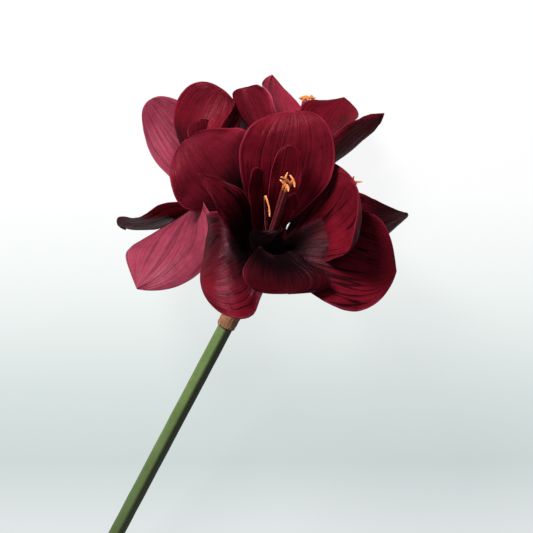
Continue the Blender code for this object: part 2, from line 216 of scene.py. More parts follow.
# Noise from -1 to 1.
def noise(tree, place, scale=1.0, detail=1.0, roughness=0.5):
    feeds = {"Vector": place, "Scale": scale, "Detail": detail, "Roughness": roughness}
    return (placeNode(tree, "ShaderNodeTexNoise", feeds) - 0.5) * 2.0


def mixColour(share, low, high, blend="MIX"):
    tree = next(value.tree for value in (share, low, high) if isinstance(value, Wire))
    node = tree.nodes.new("ShaderNodeMix")
    node.data_type = "RGBA"
    node.blend_type = blend
    feed(tree, share, node.inputs[0])
    feed(tree, low, node.inputs[6])
    feed(tree, high, node.inputs[7])
    return Wire(tree, node.outputs[2])


socketKinds = {float: "NodeSocketFloat", int: "NodeSocketInt", tuple: "NodeSocketVector"}


# A node group with named inputs, given with their usual values, and its inputs as wires.
def newTree(title, kind, inputs, outputs):
    tree = bpy.data.node_groups.new(title, kind)
    for name, usual in inputs.items():
        socketKind = usual if isinstance(usual, str) else socketKinds[type(usual)]
        socket = tree.interface.new_socket(name=name, in_out="INPUT", socket_type=socketKind)
        if not isinstance(usual, str):
            socket.default_value = usual
    for name, socketKind in outputs.items():
        tree.interface.new_socket(name=name, in_out="OUTPUT", socket_type=socketKind)
    start = tree.nodes.new("NodeGroupInput")
    wires = {name: Wire(tree, start.outputs[name]) for name in inputs}
    return tree, wires


def closeTree(tree, **results):
    end = tree.nodes.new("NodeGroupOutput")
    for name, value in results.items():
        feed(tree, value, end.inputs[name])


def storeOn(geometry, name, value, domain="POINT", kind="FLOAT"):
    feeds = {"Geometry": geometry, "Name": name, "Value": value}
    return placeNode(
        geometry.tree, "GeometryNodeStoreNamedAttribute", feeds, data_type=kind, domain=domain,
    )


def stored(tree, name, kind="FLOAT"):
    return placeNode(tree, "GeometryNodeInputNamedAttribute", {"Name": name}, data_type=kind)


def setPlace(geometry, place):
    return placeNode(geometry.tree, "GeometryNodeSetPosition", {"Geometry": geometry, "Position": place})


def currentPlace(tree):
    return placeNode(tree, "GeometryNodeInputPosition")


# Moves every point along its normal.
def swellBy(geometry, amount):
    offset = placeNode(geometry.tree, "GeometryNodeInputNormal") * amount
    return placeNode(geometry.tree, "GeometryNodeSetPosition", {"Geometry": geometry, "Offset": offset})


def paint(geometry, material):
    return placeNode(geometry.tree, "GeometryNodeSetMaterial", {"Geometry": geometry, "Material": material})


# Ends a tree: smooth shading, and none of the attributes that only the shape needed.
def finishMesh(geometry, *spare):
    tree = geometry.tree
    for name in spare:
        geometry = placeNode(tree, "GeometryNodeRemoveAttribute", {"Geometry": geometry, "Name": name})
    geometry = placeNode(tree, "GeometryNodeSetShadeSmooth", {"Geometry": geometry, "Shade Smooth": True})
    return placeNode(tree, "GeometryNodeRealizeInstances", {"Geometry": geometry})


def joinAll(*geometries):
    tree = geometries[0].tree
    node = tree.nodes.new("GeometryNodeJoinGeometry")
    for geometry in reversed(geometries):
        tree.links.new(geometry.socket, node.inputs[0])
    return Wire(tree, node.outputs[0])


# Gives a sheet its thickness, which falls to nothing at its edges, and marks its two faces.
def thickenSheet(sheet, halfThickness, material):
    tree = sheet.tree
    half = stored(tree, halfThickness)
    sides = []
    for way, mark in ((1.0, 0.0), (-1.0, 1.0)):
        side = swellBy(sheet, half * way)
        if way < 0:
            side = placeNode(tree, "GeometryNodeFlipFaces", {"Mesh": side})
        sides.append(storeOn(side, "innerFace", mark, "FACE"))
    both = placeNode(tree, "GeometryNodeMergeByDistance", {"Geometry": joinAll(*sides), "Distance": 0.0015})
    return paint(finishMesh(both, halfThickness), material)


# Runs a tree on an object and keeps what it makes as a plain mesh, placed by the matrix.
def grow(title, tree, sizes, matrix, seedMesh=None):
    made = bpy.data.objects.new(title, seedMesh or bpy.data.meshes.new(title))
    bpy.context.scene.collection.objects.link(made)
    modifier = made.modifiers.new("shape", "NODES")
    modifier.node_group = tree
    for item in tree.interface.items_tree:
        if item.item_type != "SOCKET" or item.in_out != "INPUT" or item.name not in sizes:
            continue
        value = sizes[item.name]
        modifier[item.identifier] = float(value) if item.socket_type == "NodeSocketFloat" else value
    graph = bpy.context.evaluated_depsgraph_get()
    mesh = bpy.data.meshes.new_from_object(made.evaluated_get(graph), depsgraph=graph)
    made.modifiers.remove(modifier)
    made.data = mesh
    mesh.transform(matrix)
    return made


def joinPieces(pieces):
    chosen = {"active_object": pieces[0], "object": pieces[0], "selected_editable_objects": pieces}
    with bpy.context.temp_override(**chosen):
        bpy.ops.object.join()
    return pieces[0]


def dress(piece, slot, *nodes):
    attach(piece, "root")
    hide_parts(*nodes)


# Shader groups that several materials use

# Fine lengthwise veins and broader streaks that fan out from the throat, in a petal's own UV.
def makeVeinGroup():
    sockets = {"Across": 0.5, "Along": 0.5, "Seed": 0.0, "Crowding": 60.0, "StreaksEnd": 0.9}
    tree, given = newTree(
        "petalVeins", "ShaderNodeTree", sockets,
        {"Lines": "NodeSocketFloat", "Streaks": "NodeSocketFloat", "Relief": "NodeSocketFloat"},
    )
    across, along, seed = given["Across"], given["Along"], given["Seed"]
    crowding = given["Crowding"]
    sway = noise(tree, vector(tree, across * 3.0, along * 3.5, seed), detail=2.0) * 0.022
    place = across + sway
    fine = noise(tree, vector(tree, place * crowding, along * 1.7, seed), detail=2.0, roughness=0.6)
    broad = noise(tree, vector(tree, place * crowding * 0.19, along, seed + 7.0), detail=1.5)
    ribs = size(sine(place * crowding * 0.9)) ** 3.0
    lines = larger(rising(fine, 0.05, 0.5), rising(ribs, 0.5, 1.0) * 0.55)
    furrow = size(broad + fine * 0.10)
    uneven = noise(tree, vector(tree, across * 7.0, along * 4.5, seed + 11.0), detail=2.0) * 1.3 + 0.75
    wide = larger((1.0 - along / given["StreaksEnd"]) * uneven * 0.36, 0.004)
    streaks = (1.0 - rising(furrow / wide, 0.2, 1.0)) * rising(wide, 0.0, 0.06)
    closeTree(tree, Lines=lines, Streaks=streaks, Relief=fine * 0.35 + smaller(furrow, 0.3) * 0.8)
    return tree


# Soft blotches in the object's own space, at two scales.
def makeBlotchGroup():
    tree, given = newTree(
        "softBlotches", "ShaderNodeTree", {"Place": (0.0, 0.0, 0.0), "Broad": 25.0, "Small": 160.0},
        {"Blotch": "NodeSocketFloat", "Grain": "NodeSocketFloat"},
    )
    broad = noise(tree, given["Place"], given["Broad"], detail=3.0)
    small = noise(tree, given["Place"], given["Small"], detail=4.0, roughness=0.6)
    closeTree(tree, Blotch=rising(broad + small * 0.35, -0.6, 0.6), Grain=small)
    return tree


veinGroup = makeVeinGroup()
blotchGroup = makeBlotchGroup()


def useGroup(tree, group, feeds):
    node = tree.nodes.new("ShaderNodeGroup")
    node.node_tree = group
    for name, value in feeds.items():
        feed(tree, value, node.inputs[name])
    return {socket.name: Wire(tree, socket) for socket in node.outputs}


def newMaterial(title, constants):
    material = bpy.data.materials.new(title)
    material.use_nodes = True
    tree = material.node_tree
    shader = tree.nodes["Principled BSDF"]
    for name, value in constants.items():
        shader.inputs[name].default_value = value
    coordinates = tree.nodes.new("ShaderNodeTexCoord")
    uv = parts(Wire(tree, coordinates.outputs["UV"]))
    return material, tree, shader, Wire(tree, coordinates.outputs["Object"]), uv[0], uv[1]


def readAttribute(tree, name):
    return placeNode(tree, "ShaderNodeAttribute", output="Fac", attribute_name=name)


def raiseBump(tree, shader, height, distance, strength=1.0):
    bump = placeNode(tree, "ShaderNodeBump", {"Height": height, "Distance": distance, "Strength": strength})
    feed(tree, bump, shader.inputs["Normal"])


wineShine = {
    "Roughness": 0.38, "Specular IOR Level": 0.12, "Specular Tint": (1.0, 0.30, 0.42, 1),
    "Sheen Weight": 0.03, "Sheen Roughness": 0.3, "Sheen Tint": (1.0, 0.28, 0.42, 1),
}

# Colours, how strong the markings are, and the distance from the bloom's axis, in millimetres, over which the
# throat's painted shade ends; the throat colour is that painted shade, near black.
petalLooks = {
    "wine": {
        "deep": (0.070, 0.0025, 0.0065, 1), "bright": (0.145, 0.0050, 0.0135, 1),
        "vein": (0.012, 0.0014, 0.0025, 1), "throat": (0.0022, 0.0010, 0.0013, 1),
        "paleRimAndHighlight": (0.26, 0.016, 0.042, 1), "back": (0.13, 0.008, 0.018, 1),
        "backShare": 0.5, "lines": 0.35, "streaks": 0.97, "streaksEnd": 0.95, "crowding": 62.0,
        "throatStart": 19.0, "throatEnd": 54.0,
        "constants": wineShine,
    },
    # Painted light: a paler, pinker copy of the wine colour for tepals that face the key light.
    "pale": {
        "deep": (0.15, 0.014, 0.030, 1), "bright": (0.27, 0.036, 0.070, 1), "vein": (0.055, 0.006, 0.013, 1),
        "throat": (0.020, 0.003, 0.005, 1), "paleRimAndHighlight": (0.34, 0.05, 0.09, 1), "back": (0.23, 0.026, 0.052, 1),
        "backShare": 0.6, "lines": 0.45, "streaks": 0.7, "streaksEnd": 1.3, "crowding": 44.0,
        "throatStart": 8.0, "throatEnd": 45.0,
        "constants": {
            "Roughness": 0.45, "Specular IOR Level": 0.2, "Specular Tint": (1.0, 0.5, 0.6, 1),
            "Sheen Weight": 0.12, "Sheen Roughness": 0.35, "Sheen Tint": (1.0, 0.45, 0.56, 1),
        },
    },
    # Painted light: a brighter, pinker copy of the wine colour for a tepal that faces the key light.
    "rose": {
        "deep": (0.20, 0.010, 0.026, 1), "bright": (0.36, 0.026, 0.055, 1), "vein": (0.07, 0.004, 0.010, 1),
        "throat": (0.020, 0.003, 0.005, 1), "paleRimAndHighlight": (0.40, 0.05, 0.09, 1), "back": (0.30, 0.022, 0.048, 1),
        "backShare": 0.6, "lines": 0.4, "streaks": 0.5, "streaksEnd": 0.8, "crowding": 44.0,
        "throatStart": 8.0, "throatEnd": 30.0,
        "constants": {
            "Roughness": 0.42, "Specular IOR Level": 0.2, "Specular Tint": (1.0, 0.45, 0.55, 1),
            "Sheen Weight": 0.1, "Sheen Roughness": 0.35, "Sheen Tint": (1.0, 0.4, 0.5, 1),
        },
    },
    "petaloid": {
        "deep": (0.060, 0.002, 0.0055, 1), "bright": (0.12, 0.004, 0.010, 1),
        "vein": (0.014, 0.0014, 0.0025, 1), "throat": (0.0022, 0.0010, 0.0013, 1),
        "paleRimAndHighlight": (0.24, 0.014, 0.036, 1), "back": (0.055, 0.003, 0.007, 1),
        "backShare": 0.6, "lines": 0.3, "streaks": 0.35, "streaksEnd": 0.6, "crowding": 26.0,
        "throatStart": 5.0, "throatEnd": 20.0,
        "constants": wineShine,
    },
}


# A petal is painted darker into the throat as shade, has dark veins and streaks that fan out of it, and a
# paler rim that is partly painted highlight.
def makePetalMaterial(title, look):
    material, tree, shader, place, across, along = newMaterial(title, look["constants"])
    veins = useGroup(tree, veinGroup, {
        "Across": across, "Along": along, "Seed": readAttribute(tree, "petalSeed"),
        "Crowding": look["crowding"], "StreaksEnd": look["streaksEnd"],
    })
    blotches = useGroup(tree, blotchGroup, {"Place": place})
    inner = readAttribute(tree, "innerFace")
    fromMiddle = size(across * 2.0 - 1.0)
    # A paler, pinker rim along the margins and tip, partly the petal's own edge and partly painted highlight
    # where the edges catch the light.
    paleRimAndHighlight = larger(rising(fromMiddle, 0.93, 1.0), rising(along, 0.975, 1.0))
    colour = mixColour(blotches["Blotch"], look["deep"], look["bright"])
    colour = mixColour((1.0 - inner) * look["backShare"], colour, look["back"])
    marking = readAttribute(tree, "marking")
    colour = mixColour(veins["Streaks"] * look["streaks"] * marking, colour, look["vein"])
    lines = veins["Lines"] * look["lines"] * (1.0 - fromMiddle * 0.4) * (marking * 0.5 + 0.5)
    colour = mixColour(lines, colour, look["vein"])
    colour = mixColour(paleRimAndHighlight * 0.7, colour, look["paleRimAndHighlight"])
    # Painted shade: near black close to the bloom's axis and at the claw, where the throat lies in shade.
    throatShadeShare = 1.0 - rising(readAttribute(tree, "fromAxis"), look["throatStart"], look["throatEnd"])
    colour = mixColour(larger(throatShadeShare, 1.0 - rising(along, 0.05, 0.3)), colour, look["throat"])
    feed(tree, colour, shader.inputs["Base Color"])
    roughness = look["constants"]["Roughness"]
    feed(tree, roughness + blotches["Grain"] * 0.07 + veins["Lines"] * 0.08, shader.inputs["Roughness"])
    raiseBump(tree, shader, blotches["Grain"] * 0.3 - veins["Lines"] * 0.3 + veins["Relief"], 0.0007)
    return material


petalMaterials = {name: makePetalMaterial(name + "Petal", look) for name, look in petalLooks.items()}


# Tepals and petaloids

# A blade's midrib is a cubic curve from the throat to its tip (reach, height; rise and lean at the root, pull
# and tip at the end). Lengths are in millimetres and angles in degrees; room is the most half width for each
# millimetre from the axis, and widest a share of the length.
usualTepal = {
    "azimuth": 0.0, "reach": 90.0, "height": 70.0, "rise": 50.0, "lean": 12.0, "tip": 95.0, "pull": 40.0,
    "side": 0.0, "width": 45.0, "widest": 0.62, "blunt": 2.0, "round": 2.0, "wrap": 1.0,
    "curlLeft": 0.0, "curlRight": 0.0, "curlFrom": 0.6, "twist": 0.0,
    "wave": 2.0, "waves": 2.5, "shift": 0.0, "crease": 0.0, "room": 1.3, "fullness": 1.3,
    "groove": 0.5, "ribs": 7.0, "ribDepth": 0.12, "pucker": 1.1, "frill": 1.0,
    "pleat": 0.75, "openness": 1.0, "marking": 1.0, "thickness": 0.9, "seed": 0.0, "rows": 81, "columns": 61,
}

# What the numbers of a blade's midrib, outline and section are, in their order.
bladeNumbers = {
    "midrib": ("azimuth", "reach", "height", "rise", "lean", "tip", "pull", "side"),
    "outline": ("width", "widest", "blunt", "round", "room", "fullness"),
    "section": ("wrap", "curlLeft", "curlRight", "twist"),
}

# Radius and height at which each whorl begins on the mouth of the floral tube, and half its width there.
whorls = {
    "outer": {"radius": 8.8, "rootHeight": 0.0, "claw": 6.5},
    "inner": {"radius": 6.3, "rootHeight": 0.4, "claw": 4.6},
    "petaloid": {"radius": 4.2, "rootHeight": 1.4, "claw": 1.8},
}

tepals = {
    ("front", "top", "outer"): {
        "midrib": (86.1, 100.7, 87, 64.3, 32.1, 89.3, 36.1, 2.3),
        "outline": (42, 0.59, 1.72, 2.63, 1.06, 1.53), "section": (0.56, 3.4, 8.5, -22), "marking": 0.45,
    },
    ("front", "right", "inner"): {
        "midrib": (16.8, 64.7, 93.8, 50.4, 53.8, 5.3, 25.8, 17.1),
        "outline": (56.6, 0.76, 1.79, 1.49, 1.6, 1.72), "section": (0.66, 42.4, -3.2, -3.2),
    },
    ("front", "lower_right", "outer"): {
        "midrib": (-16.7, 108.1, 57, 54.8, 14.3, 89.6, 30.3, 8.2),
        "outline": (47.1, 0.56, 2.69, 1.3, 1, 1.25), "section": (0.5, 1.6, 31.1, 7.6), "openness": 0.76,
    },
    ("front", "bottom", "inner"): {
        "midrib": (-91.1, 58.5, 67, 46.3, -5, 96.6, 20.4, 6.7),
        "outline": (53.1, 0.69, 1.57, 2.6, 0.96, 1.15), "section": (1.16, -17.1, -23.5, -10),
        "openness": 0.6,
    },
    ("front", "lower_left", "outer"): {
        "midrib": (200.2, 61, 8.9, 48.6, 8.6, 154.9, 22.1, 5.6),
        "outline": (64.6, 0.64, 1.55, 2.2, 1.56, 0.96), "section": (0.54, -24.6, -10.9, 35.3),
        "openness": 0.72,
    },
    ("front", "left", "inner"): {
        "midrib": (157.5, 82.5, 71.7, 55.8, 29.6, 91, 32.9, -6.9),
        "outline": (19.2, 0.52, 1.15, 1.11, 1.89, 0.5), "section": (0.54, -25.5, 18.1, -12.5),
        "curlFrom": 0.3, "openness": 0.9,
    },
    ("left", "top", "inner"): {
        "midrib": (8.7, 79.5, 81.7, 71.7, -4.2, 90.1, 51, -12.5),
        "outline": (34.7, 0.71, 2.58, 2.33, 1.02, 1.63), "section": (0.83, -11.7, -17.3, 120.1),
        "marking": 0.5,
    },
    ("left", "near", "inner"): {
        "midrib": (283.9, 51.7, 64.9, 34.9, 59.6, -4.7, 28.1, 7.6),
        "outline": (54.1, 0.42, 1.66, 1.88, 1.36, 0.97), "section": (0.11, -6.4, -12.9, 15),
        "marking": 0.3, "openness": 1.1,
    },
    ("left", "far", "outer"): {
        "midrib": (80.7, 49.4, 154.4, 66.1, 8.6, -30.1, 48.9, -28),
        "outline": (34.5, 0.64, 1.44, 2.33, 1.26, 1.69), "section": (0.62, -16.9, -19.7, -14.1),
        "look": "pale", "marking": 0.6,
    },
    ("left", "narrow", "inner"): {
        "midrib": (166.9, 88.3, 95, 39.2, 27, 30.4, 29.7, -15.4),
        "outline": (37.2, 0.49, 2.4, 2.34, 1.34, 1.4), "section": (1.03, 9.2, -2.3, 12.7), "wave": 4,
        "waves": 2.2,
    },
    ("left", "lower", "outer"): {
        "midrib": (197.5, 127, 24.8, 59.8, -4.8, 89.6, 66.8, 7.4),
        "outline": (61.2, 0.65, 1.65, 1.11, 1.13, 1.73), "section": (1.31, -47.8, -14.6, -95.6),
        "look": "pale", "marking": 0.7, "openness": 1.1,
    },
    ("left", "inward", "outer"): {
        "midrib": (8.6, 88.3, 56.7, 47.5, 16.5, 75, 31.3, 10.5),
        "outline": (33.5, 0.51, 2.1, 2.27, 1.11, 1.26), "section": (0.71, 3.5, -0.6, -17.6),
    },
    ("back", "folded", "outer"): {
        "midrib": (24.8, 77.4, 88.4, 38.8, 10.9, 22.9, 5, 0.2),
        "outline": (22.9, 0.6, 2.79, 3.2, 1.33, 1.27), "section": (0.55, 7.9, 1.5, 26.3), "crease": 4,
        "marking": 0.5,
    },
    ("back", "pointed", "inner"): {
        "midrib": (321, 57.9, 130.8, 57.5, 1, 10.6, 48.6, 6.6),
        "outline": (47.2, 0.62, 1.35, 1.12, 1.3, 1.28), "section": (1.06, 2.8, 10.7, -9.1), "look": "rose",
        "marking": 0.6,
    },
    ("back", "far_right", "inner"): {
        "midrib": (230.6, 42.7, 130.3, 61.1, -5, 14.5, 36.4, 3.1),
        "outline": (44, 0.48, 1.79, 1.18, 1.27, 1.33), "section": (0.92, 1.7, -20.6, 31.7), "marking": 0.5,
    },
    ("back", "right", "outer"): {
        "midrib": (174.8, 64.9, 113, 52.3, 16.9, 28.8, 44.3, 3.5),
        "outline": (27, 0.67, 1.16, 1.1, 1.02, 1.36), "section": (0.99, 12.5, 12.7, -28.5), "marking": 0.4,
    },
    ("back", "low", "outer"): {
        "midrib": (277, 59, 87.6, 50.4, 12, 59.3, 40.2, 0.6),
        "outline": (21.4, 0.63, 1.99, 2.03, 1.31, 1.34), "section": (1, -0.1, 0.3, -0.3),
    },
    ("back", "near", "inner"): {
        "midrib": (108.6, 38.3, 76.4, 52.1, 18.6, 61.2, 39.7, -1.5),
        "outline": (20.3, 0.62, 2, 1.97, 1.29, 1.3), "section": (0.98, 0.1, -2, -0.2),
    },
    ("right", "near", "outer"): {
        "midrib": (104.9, 54.7, 90.2, 52, 28.6, 46.8, 36.8, -11),
        "outline": (45.5, 0.64, 1.33, 1.59, 1.76, 1.47), "section": (0.67, -7.2, 30.5, 65),
    },
    ("right", "upper_near", "inner"): {
        "midrib": (40.8, 20.9, 93.4, 49.7, 12.9, 40.1, 32.4, 0),
        "outline": (26.2, 0.62, 1.32, 1.17, 1.26, 1.28), "section": (0.98, 1.8, 0.7, -2.9),
    },
    ("right", "upper_far", "outer"): {
        "midrib": (335.4, 65.2, 61.7, 52, 18.4, 98.3, 40.2, -3),
        "outline": (20.7, 0.64, 1.98, 1.95, 1.29, 1.38), "section": (0.94, -2.7, -0.2, 1),
    },
    ("right", "far", "inner"): {
        "midrib": (308.3, 62.8, 73.6, 55.9, 14.5, 94.2, 39.6, 1.4),
        "outline": (25.5, 0.63, 2.04, 2.04, 1.33, 1.65), "section": (1.01, -3.4, 0.6, -1.1),
    },
    ("right", "low", "outer"): {
        "midrib": (240, 95.7, 70, 50, 12, 90, 40, 0), "outline": (34, 0.62, 2, 2, 1.3, 1.3),
        "section": (1, 0, 0, 0),
    },
    ("right", "lower_near", "inner"): {
        "midrib": (185, 36, 64.2, 52.6, 18.8, 51.8, 38.4, 16.1),
        "outline": (11.4, 0.63, 1.89, 1.92, 1.29, 1.49), "section": (0.67, -1.3, -2.8, 1.7),
    },
}

usualPetaloid = dict(
    usualTepal, rise=24.0, lean=4.0, tip=20.0, pull=18.0, wrap=0.7, wave=1.4, waves=3.5, width=5.0,
    widest=0.7, groove=0.3, ribs=3.0, ribDepth=0.1, pucker=0.6, frill=0.9, pleat=0.3, rows=45, columns=21,
)

petaloids = {
    "front": (
        {
            "midrib": (86.1, 62.9, 95.9, 46.1, 1.7, 60.3, 23.5, 5.7),
            "outline": (13.7, 0.74, 1.91, 1.79, 1.18, 1.12), "section": (1.05, 15.1, 12.4, -1.1),
        },
        {
            "midrib": (128.6, 50.7, 79.6, 19.8, 7, 18.3, 10.7, -10.6),
            "outline": (7.4, 0.74, 1.53, 2.98, 1.12, 1.34), "section": (0.66, -1.8, 0, -17.2),
        },
        {
            "midrib": (67.9, 32.3, 72.6, 32.3, 5.7, 31.8, 14.9, 1),
            "outline": (6.5, 0.71, 1.92, 2.07, 1.37, 1.18), "section": (0.65, 1.8, -1.6, 2.8),
        },
        {"azimuth": 38, "reach": 14, "height": 44, "rise": 26, "tip": 30, "width": 6},
        {
            "midrib": (234.4, -3.6, 62, 24.9, 20.4, -53.6, 26.3, 0.3),
            "outline": (22.3, 0.7, 3.63, 3.29, 1.99, 1.29), "section": (0.41, -4.8, 0.9, 11.8),
            "openness": 0.35, "frill": 1.6,
        },
    ),
    "left": (
        {
            "midrib": (346.7, 44, 79.7, 44.4, 0.4, 33.3, 23.3, 3),
            "outline": (20, 0.7, 2.22, 2.05, 1.33, 1.22), "section": (0.71, -2.5, -4.4, -38),
        },
        {"azimuth": 58, "reach": 14, "height": 58, "rise": 38, "tip": 40, "width": 7},
        {"azimuth": 100, "reach": 11, "height": 54},
        {"azimuth": 160, "reach": 11, "height": 48},
        {"azimuth": 232, "reach": 10, "height": 40},
    ),
    "back": (
        {"azimuth": 15, "reach": 11, "height": 50},
        {"azimuth": 135, "reach": 10, "height": 46, "width": 5},
        {"azimuth": 185, "reach": 11, "height": 52},
        {"azimuth": 296, "reach": 11, "height": 34},
        {"azimuth": 338, "reach": 11, "height": 50},
    ),
    "right": (
        {"azimuth": 45, "reach": 10, "height": 30, "width": 4},
        {"azimuth": 125, "reach": 8, "height": 30, "width": 4},
        {"azimuth": 206, "reach": 8, "height": 32, "width": 4},
        {"azimuth": 250, "reach": 11, "height": 50},
        {"azimuth": 290, "reach": 11, "height": 38, "width": 4},
    ),
}


# Place along a cubic curve with these four numbers, and how fast it changes.
def bezierWire(ends, t):
    a, b, c, d = ends
    left = 1.0 - t
    place = a * (left ** 3.0) + b * (left * left * t * 3.0) + c * (left * t * t * 3.0) + d * (t ** 3.0)
    rate = (b - a) * (left * left * 3.0) + (c - b) * (left * t * 6.0) + (d - c) * (t * t * 3.0)
    return place, rate


# The sum of a value over the columns of each row of the grid, from the middle column outwards.
def sumFromMiddle(value, rows, columns):
    tree = value.tree
    index = placeNode(tree, "GeometryNodeInputIndex")
    row = mathNode("MODULO", index, rows)
    running = placeNode(
        tree, "GeometryNodeAccumulateField", {"Value": value, "Group ID": row}, output="Trailing",
    ) + value * 0.5
    middle = (columns - 1.0) * 0.5 * rows + row
    return running - placeNode(tree, "GeometryNodeFieldAtIndex", {"Value": running, "Index": middle})


# One blade: a grid whose rows follow the midrib and whose columns bend round the throat and curl back.
def makeTepalTree():
    inputs = dict(usualTepal, **whorls["outer"], material="NodeSocketMaterial")
    tree, given = newTree("tepalBlade", "GeometryNodeTree", inputs, {"Geometry": "NodeSocketGeometry"})
    rows, columns = given["rows"], given["columns"]
    grid = placeNode(tree, "GeometryNodeMeshGrid", {"Vertices X": columns, "Vertices Y": rows})
    x, y, _ = parts(currentPlace(tree))

    # Columns crowd towards the edges, and rows towards the tip.
    spread = x * 2.0
    u = spread * 0.55 + sine(spread * (math.pi / 2)) * 0.45
    uRate = cosine(spread * (math.pi / 2)) * (0.45 * math.pi / 2) + 0.55
    far = size(u)
    toRight = mathNode("GREATER_THAN", u, 0.0)
    widest = given["widest"]
    v = y + 0.5
    lower = smaller(v * 2.0, 1.0)
    upper = larger(v * 2.0 - 1.0, 0.0)
    t = smaller(widest * lower + (1.0 - widest) * sine(upper * (math.pi / 2)), 1.0)

    # The midrib, seen with its azimuth along X.
    lean = mathNode("RADIANS", given["lean"])
    tip = mathNode("RADIANS", given["tip"])
    radius, radiusRate = bezierWire((
        given["radius"], given["radius"] + given["rise"] * sine(lean),
        given["reach"] - given["pull"] * sine(tip), given["reach"],
    ), t)
    height, heightRate = bezierWire((
        given["rootHeight"], given["rootHeight"] + given["rise"] * cosine(lean),
        given["height"] - given["pull"] * cosine(tip), given["height"],
    ), t)
    centre = vector(tree, radius, given["side"] * t * t, height)
    along = mathNode("NORMALIZE", vector(tree, radiusRate, given["side"] * t * 2.0, heightRate))
    sideways = vector(tree, 0.0, 1.0, 0.0)
    across = mathNode("NORMALIZE", sideways - along * mathNode("DOT_PRODUCT", along, sideways))
    inward = mathNode("CROSS_PRODUCT", along, across)
    turn = mathNode("RADIANS", given["twist"]) * t ** 1.5
    acrossTurned = across * cosine(turn) + inward * sine(turn)
    inwardTurned = inward * cosine(turn) - across * sine(turn)

    # Half the width, within the blade's share of the throat.
    seed = given["seed"]
    swell = sine(smaller(t / widest, 1.0) * (math.pi / 2)) ** given["fullness"]
    low = given["claw"] + (given["width"] - given["claw"]) * swell
    beyond = larger((t - widest) / (1.0 - widest), 0.0)
    high = given["width"] * larger(1.0 - beyond ** given["blunt"], 0.0) ** (1.0 / given["round"])
    isHigh = mathNode("GREATER_THAN", t, widest)
    free = low * (1.0 - isHigh) + high * isHigh
    most = given["room"] * larger(radius, 1.0)
    nibble = noise(tree, vector(tree, t * 6.5, toRight * 5.0, seed), detail=2.0)
    half = free / (1.0 + (free / most) ** 6.0) ** (1.0 / 6.0) * (1.0 + nibble * 0.022)

    # The cross-section turns inwards with the throat's curve, and curls towards its edges.
    natural = half * parts(along)[2] / larger(radius, 3.0) * given["wrap"]
    curl = given["curlRight"] * toRight + given["curlLeft"] * (1.0 - toRight)
    curlStart = given["curlFrom"]
    bend = natural * far + mathNode("RADIANS", curl) * rising(t, 0.3, 0.55) * rising(far, curlStart, 1.0)
    step = uRate * (2.0 / (columns - 1.0))
    flat = sumFromMiddle(cosine(bend) * step, rows, columns)
    deep = sumFromMiddle(sine(bend) * step * (toRight * 2.0 - 1.0), rows, columns)

    # Waves, the crease, and the small relief: ribs, midrib groove, puckers and a frilled edge.
    phase = given["waves"] * t + given["shift"] + toRight * 0.37
    ripple = rising(t, 0.25, 0.65) * far ** 2.5 * sine(phase * math.tau)
    fold = rising(t, 0.0, 0.4) * (1.0 - rising(t, 0.75, 1.0))
    crease = given["crease"] * mathNode("EXPONENT", (u / 0.16) * (u / 0.16) * -1.0) * fold
    body = rising(t, 0.05, 0.3) * (1.0 - rising(t, 0.8, 1.0))
    groove = given["groove"] * mathNode("EXPONENT", (u / 0.045) * (u / 0.045) * -1.0) * body
    ribs = given["ribDepth"] * cosine(u * given["ribs"] * math.tau) * (1.0 - far * far) * body
    pucker = given["pucker"] * noise(tree, vector(tree, u * 1.8, t * 4.5, seed), detail=2.0)
    pucker = pucker * rising(t, 0.15, 0.5)
    frill = given["frill"] * noise(tree, vector(tree, t * 17.0, toRight * 9.0, seed + 3.0)) * far ** 7.0
    pleat = noise(tree, vector(tree, u * 5.5, t * 1.4, seed + 5.0), detail=2.0) * given["pleat"] * body
    relief = ripple * given["wave"] - crease - groove + ribs + pucker + pleat + frill * rising(t, 0.3, 0.6)
    place = centre + acrossTurned * (half * flat) + inwardTurned * (half * deep + relief)

    edge = root(larger(1.0 - far ** 5.0, 0.0))
    ends = root(larger(1.0 - t ** 12.0, 0.0)) * smaller(t * 60.0, 1.0)
    sheet = storeOn(grid, "halfThickness", given["thickness"] * 0.5 * edge * ends)
    sheet = storeOn(sheet, "petalSeed", seed)
    sheet = storeOn(sheet, "UVMap", vector(tree, u * 0.5 + 0.5, t, 0.0), "CORNER", "FLOAT2")
    outX, outY, _ = parts(place)
    # The distance from the axis, scaled by openness, sets how far the painted throat shade reaches.
    sheet = storeOn(sheet, "fromAxis", root(outX * outX + outY * outY) * given["openness"])
    sheet = storeOn(sheet, "marking", given["marking"])
    sheet = setPlace(sheet, place)
    blade = thickenSheet(sheet, "halfThickness", given["material"])
    spin = vector(tree, 0.0, 0.0, mathNode("RADIANS", given["azimuth"]))
    closeTree(tree, Geometry=placeNode(tree, "GeometryNodeTransform", {"Geometry": blade, "Rotation": spin}))
    return tree


tepalTree = makeTepalTree()


# A blade's sizes by name: the usual ones, those of its whorl, and its own.
def bladeSizes(usual, whorl, look, entry):
    sizes = dict(usual, **whorls[whorl], material=petalMaterials[look])
    for name, value in entry.items():
        sizes.update(zip(bladeNumbers[name], value) if name in bladeNumbers else {name: value})
    return sizes


def buildTepals():
    for number, ((bloom, part, whorl), entry) in enumerate(tepals.items()):
        # The lit looks are painted light: brighter copies of the wine colour for the tepals turned to the
        # light.
        look = entry.get("look", "wine")
        usual = dict(usualTepal, openness=blooms[bloom]["openness"], seed=number * 1.7 + 0.3)
        sizes = bladeSizes(usual, whorl, look, entry)
        piece = grow(f"{bloom}_{part}_blade", tepalTree, sizes, bloomMatrix(bloom))
        dress(piece, "tepal_pale" if look == "pale" else "tepal", f"{bloom}_tepal_{part}")
    print("tepals:", len(tepals))


